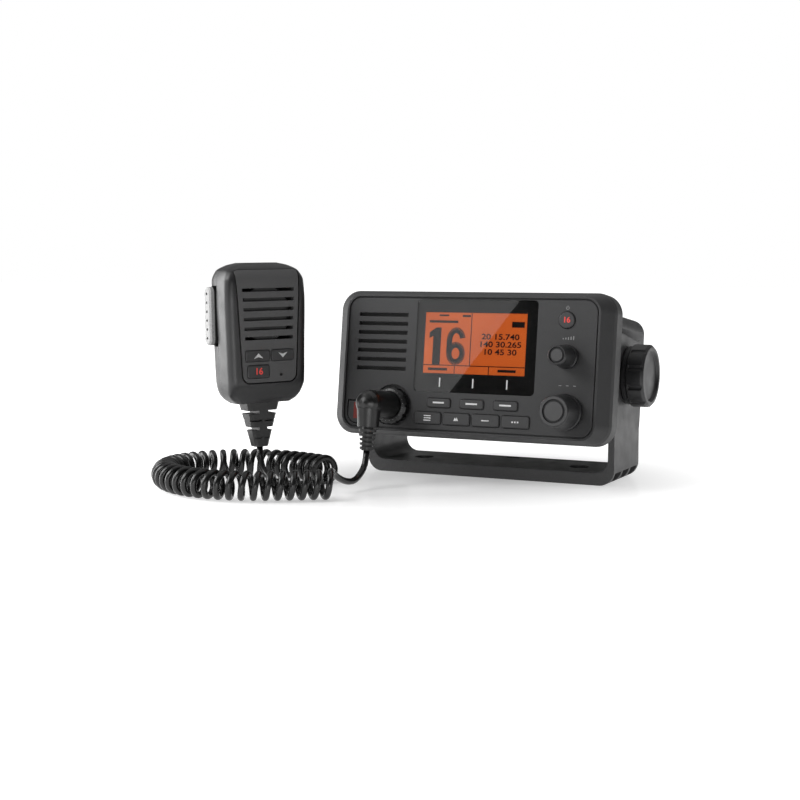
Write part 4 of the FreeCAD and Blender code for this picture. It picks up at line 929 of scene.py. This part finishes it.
def lever_rooms():
    """The talk lever's hole in the side and the recess in front of it."""
    r = (LEVER_HALF + LEVER_GAP) * LEVER_ROUND
    near, far = LEVER_AT - LEVER_HALF - LEVER_GAP, LEVER_AT + LEVER_HALF + LEVER_GAP
    low, high = LEVER_BOTTOM - LEVER_GAP, LEVER_TOP + LEVER_GAP
    hole = sideways_prism(rounded([(near, low, r), (far, low, r), (far, high, r), (near, high, r)]),
                          -40, -17.7)
    low, high = LEVER_BOTTOM - LEVER_SIDE_GAP, LEVER_TOP + LEVER_SIDE_GAP
    recess = prism([[(-40, low), (-22.6, low), (-22.6, high), (-40, high)]],
                   LEVER_AT - LEVER_HALF - 2.4, LEVER_AT, PLAIN)
    return hole, recess


def handset_pieces():
    """The two shells and the panel, cut from one smooth skin."""
    skin = handset_skin()
    hollow = prism([bar(0, 41.25, 37.0, 58.5)], FRONT_Y + 4.0, 9.0, PLAIN)
    panel_room = prism([insert_outline(0.75)], FRONT_Y - 5, FRONT_Y + 3.2, PLAIN)
    panel_body = prism([insert_outline(0.0)], FRONT_Y - 5, FRONT_Y + 3.0, PLAIN)
    lever_room, side_room = lever_rooms()
    holes = prism(face_hole_outlines(), FRONT_Y - 2, FRONT_Y + 4.5, PLAIN)
    screws = [circle(x, z, 2.3) for x, z in ((-15.0, 8.5), (15.0, 8.5), (0.0, 73.4))]
    screw_rooms = prism(screws, 8.0, 48.0, PLAIN)
    behind = prism([bar(0, 40, 160, 160)], 0.0, 80.0, PLAIN)
    ahead = prism([bar(0, 40, 160, 160)], -80.0, 0.0, PLAIN)
    front_cuts = [behind, hollow.copy(), panel_room, lever_room.copy(), side_room.copy(), holes.copy()]
    made = {
        "handset_front": carved(skin.copy(), front_cuts),
        "handset_back": carved(skin.copy(), [ahead, hollow, lever_room, side_room, screw_rooms]),
        "handset_panel": carved(carved(skin, [panel_body], "INTERSECT"), [holes]),
    }
    for name, mesh in made.items():
        smooth_faces(mesh)
        mesh.transform(HANDSET)
        finish = "insert" if name == "handset_panel" else "shell"
        piece = add_piece(name + "_smooth", mesh, finish, "base")
        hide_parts(name)


handset_pieces()


# Rear housing with clear corners round its screws and a clear data pad

REAR_FACE = 110.02         # depth of the housing's back, behind the panel's face
FIN_TIP = 126.0
SCREW_AT = (62.0, 28.5)
CORNER_CLEAR = (4.4, 11.0)     # width and height that are cleared at a screw
DATA_PAD = (13.6, -14.0)   # of the data socket: x of its edges, z of its middle
DATA_STRIP = (1.4, 26.0)


def trimmed_housing():
    """The cast housing without the thin fin ends beside its screws and data socket."""
    work = bmesh.new()
    work.from_mesh(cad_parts["rear_housing"].data)
    bmesh.ops.remove_doubles(work, verts=work.verts, dist=1e-6)
    mesh = bpy.data.meshes.new("housing")
    work.to_mesh(mesh)
    work.free()
    x, z = SCREW_AT
    corners = [bar(sx * x, sz * (z + 1.0), *CORNER_CLEAR) for sx in (-1, 1) for sz in (-1, 1)]
    strips = [bar(side * DATA_PAD[0], DATA_PAD[1], *DATA_STRIP) for side in (-1, 1)]
    mesh = carved(mesh, [prism([shape], REAR_FACE, FIN_TIP, FACE) for shape in corners + strips])
    smooth_faces(mesh)
    piece = add_piece("rear_housing_trimmed", mesh, "case", "head")
    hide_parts("rear_housing")


trimmed_housing()


# Small dots of relief

RING_AT = (-45.5, -24.8)   # the plug's locking ring
RING_DOTS = 24
RING_DOTS_R = 9.0
RING_DOTS_Y = -4.9
RING_DOT_R = 0.22


def domes(places, radius, height, axis, frame_matrix):
    """Low round bumps that stand out along a local axis."""
    work = bmesh.new()
    turn = Vector((0, 0, 1)).rotation_difference(Vector(axis)).to_matrix().to_4x4()
    for place in places:
        at = Matrix.Translation(Vector(place) * MM) @ turn @ Matrix.Diagonal((1, 1, height / radius, 1))
        bmesh.ops.create_uvsphere(work, u_segments=12, v_segments=6, radius=radius * MM, matrix=at)
    for face in work.faces:
        face.smooth = True
    work.transform(frame_matrix)
    mesh = bpy.data.meshes.new("domes")
    work.to_mesh(mesh)
    work.free()
    return mesh


def lever_dots():
    """Row of six dots along the talk lever."""
    places = [(-28.2, LEVER_AT, 37.0 + 5.0 * i) for i in range(6)]
    return domes(places, 0.75, 0.5, (-1, 0, 0), HANDSET)


def ring_dots():
    """Small bumps on the chamfer of the plug's locking ring, whose pale grey colour is painted
    highlight.
    """
    places = []
    for i in range(RING_DOTS):
        a = 2 * math.pi * (i + 0.5) / RING_DOTS
        places.append((RING_AT[0] + RING_DOTS_R * math.cos(a), RING_DOTS_Y,
                       RING_AT[1] + RING_DOTS_R * math.sin(a)))
    return domes(places, RING_DOT_R, RING_DOT_R, (0, -1, 0), FACE)


add_piece("lever_dots", lever_dots(), "black", "lever")
# The ring's dots are real bumps, but their pale grey colour is painted highlight.
add_piece("lock_ring_dots_painted_glints", ring_dots(), "grey_print_and_painted_glints", "ring")


# Stage: a pale floor, which is a little greyer round the object's foot: a painted shadow, from a weaker
# glow there

FLOOR_HALF = 6.0
FLOOR_MIDDLE = (-0.04, -0.05, 0.0)
FLOOR_GLOW_AT = (0.06, 0.24)
FLOOR_GLOW = (0.30, 1.0)


def make_floor():
    mesh = bpy.data.meshes.new("floor")
    s = FLOOR_HALF
    mesh.from_pydata([(-s, -s, 0), (s, -s, 0), (s, s, 0), (-s, s, 0)], [], [(0, 1, 2, 3)])
    n = Nodes("studio_floor")
    n.link(n.ramp(n.noise(0.4), [(0.3, (0.86, 0.86, 0.86)), (0.7, (0.90, 0.90, 0.90))]),
           n.shader.inputs["Base Color"])
    n.link(n.spread(n.noise(0.05), 0.10, 0.14), n.shader.inputs["Roughness"])
    n.shader.inputs["IOR"].default_value = 1.12
    distance = n.against("DISTANCE", n.place, FLOOR_MIDDLE)
    # Weaker glow near the object's foot: painted shadow round it.
    glow = n.mapped(distance.outputs["Value"], *FLOOR_GLOW_AT, *FLOOR_GLOW)
    rays = n.add("ShaderNodeLightPath")
    seen = n.calculate("MAXIMUM", rays.outputs["Is Camera Ray"], rays.outputs["Is Glossy Ray"])
    seen = n.calculate("MAXIMUM", seen, rays.outputs["Is Transmission Ray"])
    n.shader.inputs["Emission Color"].default_value = WHITE
    n.link(n.calculate("MULTIPLY", glow, seen), n.shader.inputs["Emission Strength"])
    mesh.materials.append(n.material)
    floor = bpy.data.objects.new("floor", mesh)
    bpy.context.scene.collection.objects.link(floor)


def area_light(name, place, target, size, power):
    """Soft light that the camera doesn't see."""
    data = bpy.data.lights.new(name, "AREA")
    data.shape = "RECTANGLE"
    data.size, data.size_y = size
    data.energy = power
    lamp = bpy.data.objects.new(name, data)
    lamp.location = place
    way = Vector(target) - Vector(place)
    lamp.rotation_mode = "QUATERNION"
    lamp.rotation_quaternion = way.to_track_quat("-Z", "Y")
    lamp.visible_camera = False
    bpy.context.scene.collection.objects.link(lamp)
    return lamp


# Lights: name, place, target, size in metres and power in watts
LIGHTS = [
    ("key", (-1.0, -1.1, 1.25), (0, 0, 0.05), (1.0, 1.0), 17.0),
    ("front", (0.75, -1.5, 0.12), (0, 0, 0.03), (0.9, 0.22), 3.0),
    ("top", (0.1, 0.1, 1.5), (0, -0.05, 0.0), (2.2, 2.2), 7.0),
    ("right_rim", (1.2, 0.25, 0.4), (0.05, 0, 0.07), (0.4, 0.8), 0.3),
    ("left_side", (-1.2, -0.2, 0.35), (-0.1, -0.1, 0.07), (0.5, 0.9), 9.0),
]

# Where the bright card's edge shows in the window, top and bottom, and how far off it stands
CARD_EDGE = [(30.4, 37.0), (-10.0, -16.1)]
CARD_DISTANCE = 0.9
CARD_SIZE = (0.75, 0.7)
CARD_POWER = 1.6


def reflection_card():
    """Light card whose slanting edge is seen in the window."""
    normal = (HEAD.to_3x3() @ Vector((0, -1, 0))).normalized()
    ends = []
    for x, z in CARD_EDGE:
        at = FACE @ Vector((x * MM, 0.0, z * MM))
        way = (at - camera.location).normalized()
        away = way - 2 * way.dot(normal) * normal
        ends.append((at + away * CARD_DISTANCE, away))
    (top, top_way), (bottom, bottom_way) = ends
    along = (top - bottom).normalized()
    facing = -(top_way + bottom_way).normalized()
    side = facing.cross(along).normalized()
    left = (HEAD.to_3x3() @ Vector((-1, 0, 0))).normalized()
    if side.dot(left) < 0:
        side = -side
    centre = (top + bottom) / 2 + side * CARD_SIZE[0] / 2
    lamp = area_light("reflection_card", centre, centre + facing, CARD_SIZE, CARD_POWER)
    across = along.cross(-facing).normalized()
    turn = Matrix((across, along, -facing)).transposed()
    lamp.rotation_quaternion = turn.to_quaternion()


def make_lights():
    for light in LIGHTS:
        area_light(*light)
    reflection_card()


WORLD_Y = (-0.1, 0.35)     # of a direction, from the front to the back
WORLD_LIGHT = (0.05, 0.27)


def make_world():
    """White for the camera, and a soft light that grows from the front to the back."""
    world = bpy.data.worlds.new("studio")
    bpy.context.scene.world = world
    world.use_nodes = True
    tree = world.node_tree
    tree.nodes.clear()
    place = tree.nodes.new("ShaderNodeTexCoord")
    split = tree.nodes.new("ShaderNodeSeparateXYZ")
    ramp = tree.nodes.new("ShaderNodeMapRange")
    ramp.inputs["From Min"].default_value, ramp.inputs["From Max"].default_value = WORLD_Y
    ramp.inputs["To Min"].default_value, ramp.inputs["To Max"].default_value = WORLD_LIGHT
    rays = tree.nodes.new("ShaderNodeLightPath")
    largest = tree.nodes.new("ShaderNodeMath")
    largest.operation = "MAXIMUM"
    back = tree.nodes.new("ShaderNodeBackground")
    back.inputs["Color"].default_value = WHITE
    out = tree.nodes.new("ShaderNodeOutputWorld")
    tree.links.new(place.outputs["Generated"], split.inputs["Vector"])
    tree.links.new(split.outputs["Y"], ramp.inputs["Value"])
    tree.links.new(ramp.outputs["Result"], largest.inputs[0])
    tree.links.new(rays.outputs["Is Camera Ray"], largest.inputs[1])
    tree.links.new(largest.outputs["Value"], back.inputs["Strength"])
    tree.links.new(back.outputs["Background"], out.inputs["Surface"])


make_floor()
make_lights()
make_world()
bpy.context.scene.view_settings.view_transform = "Standard"
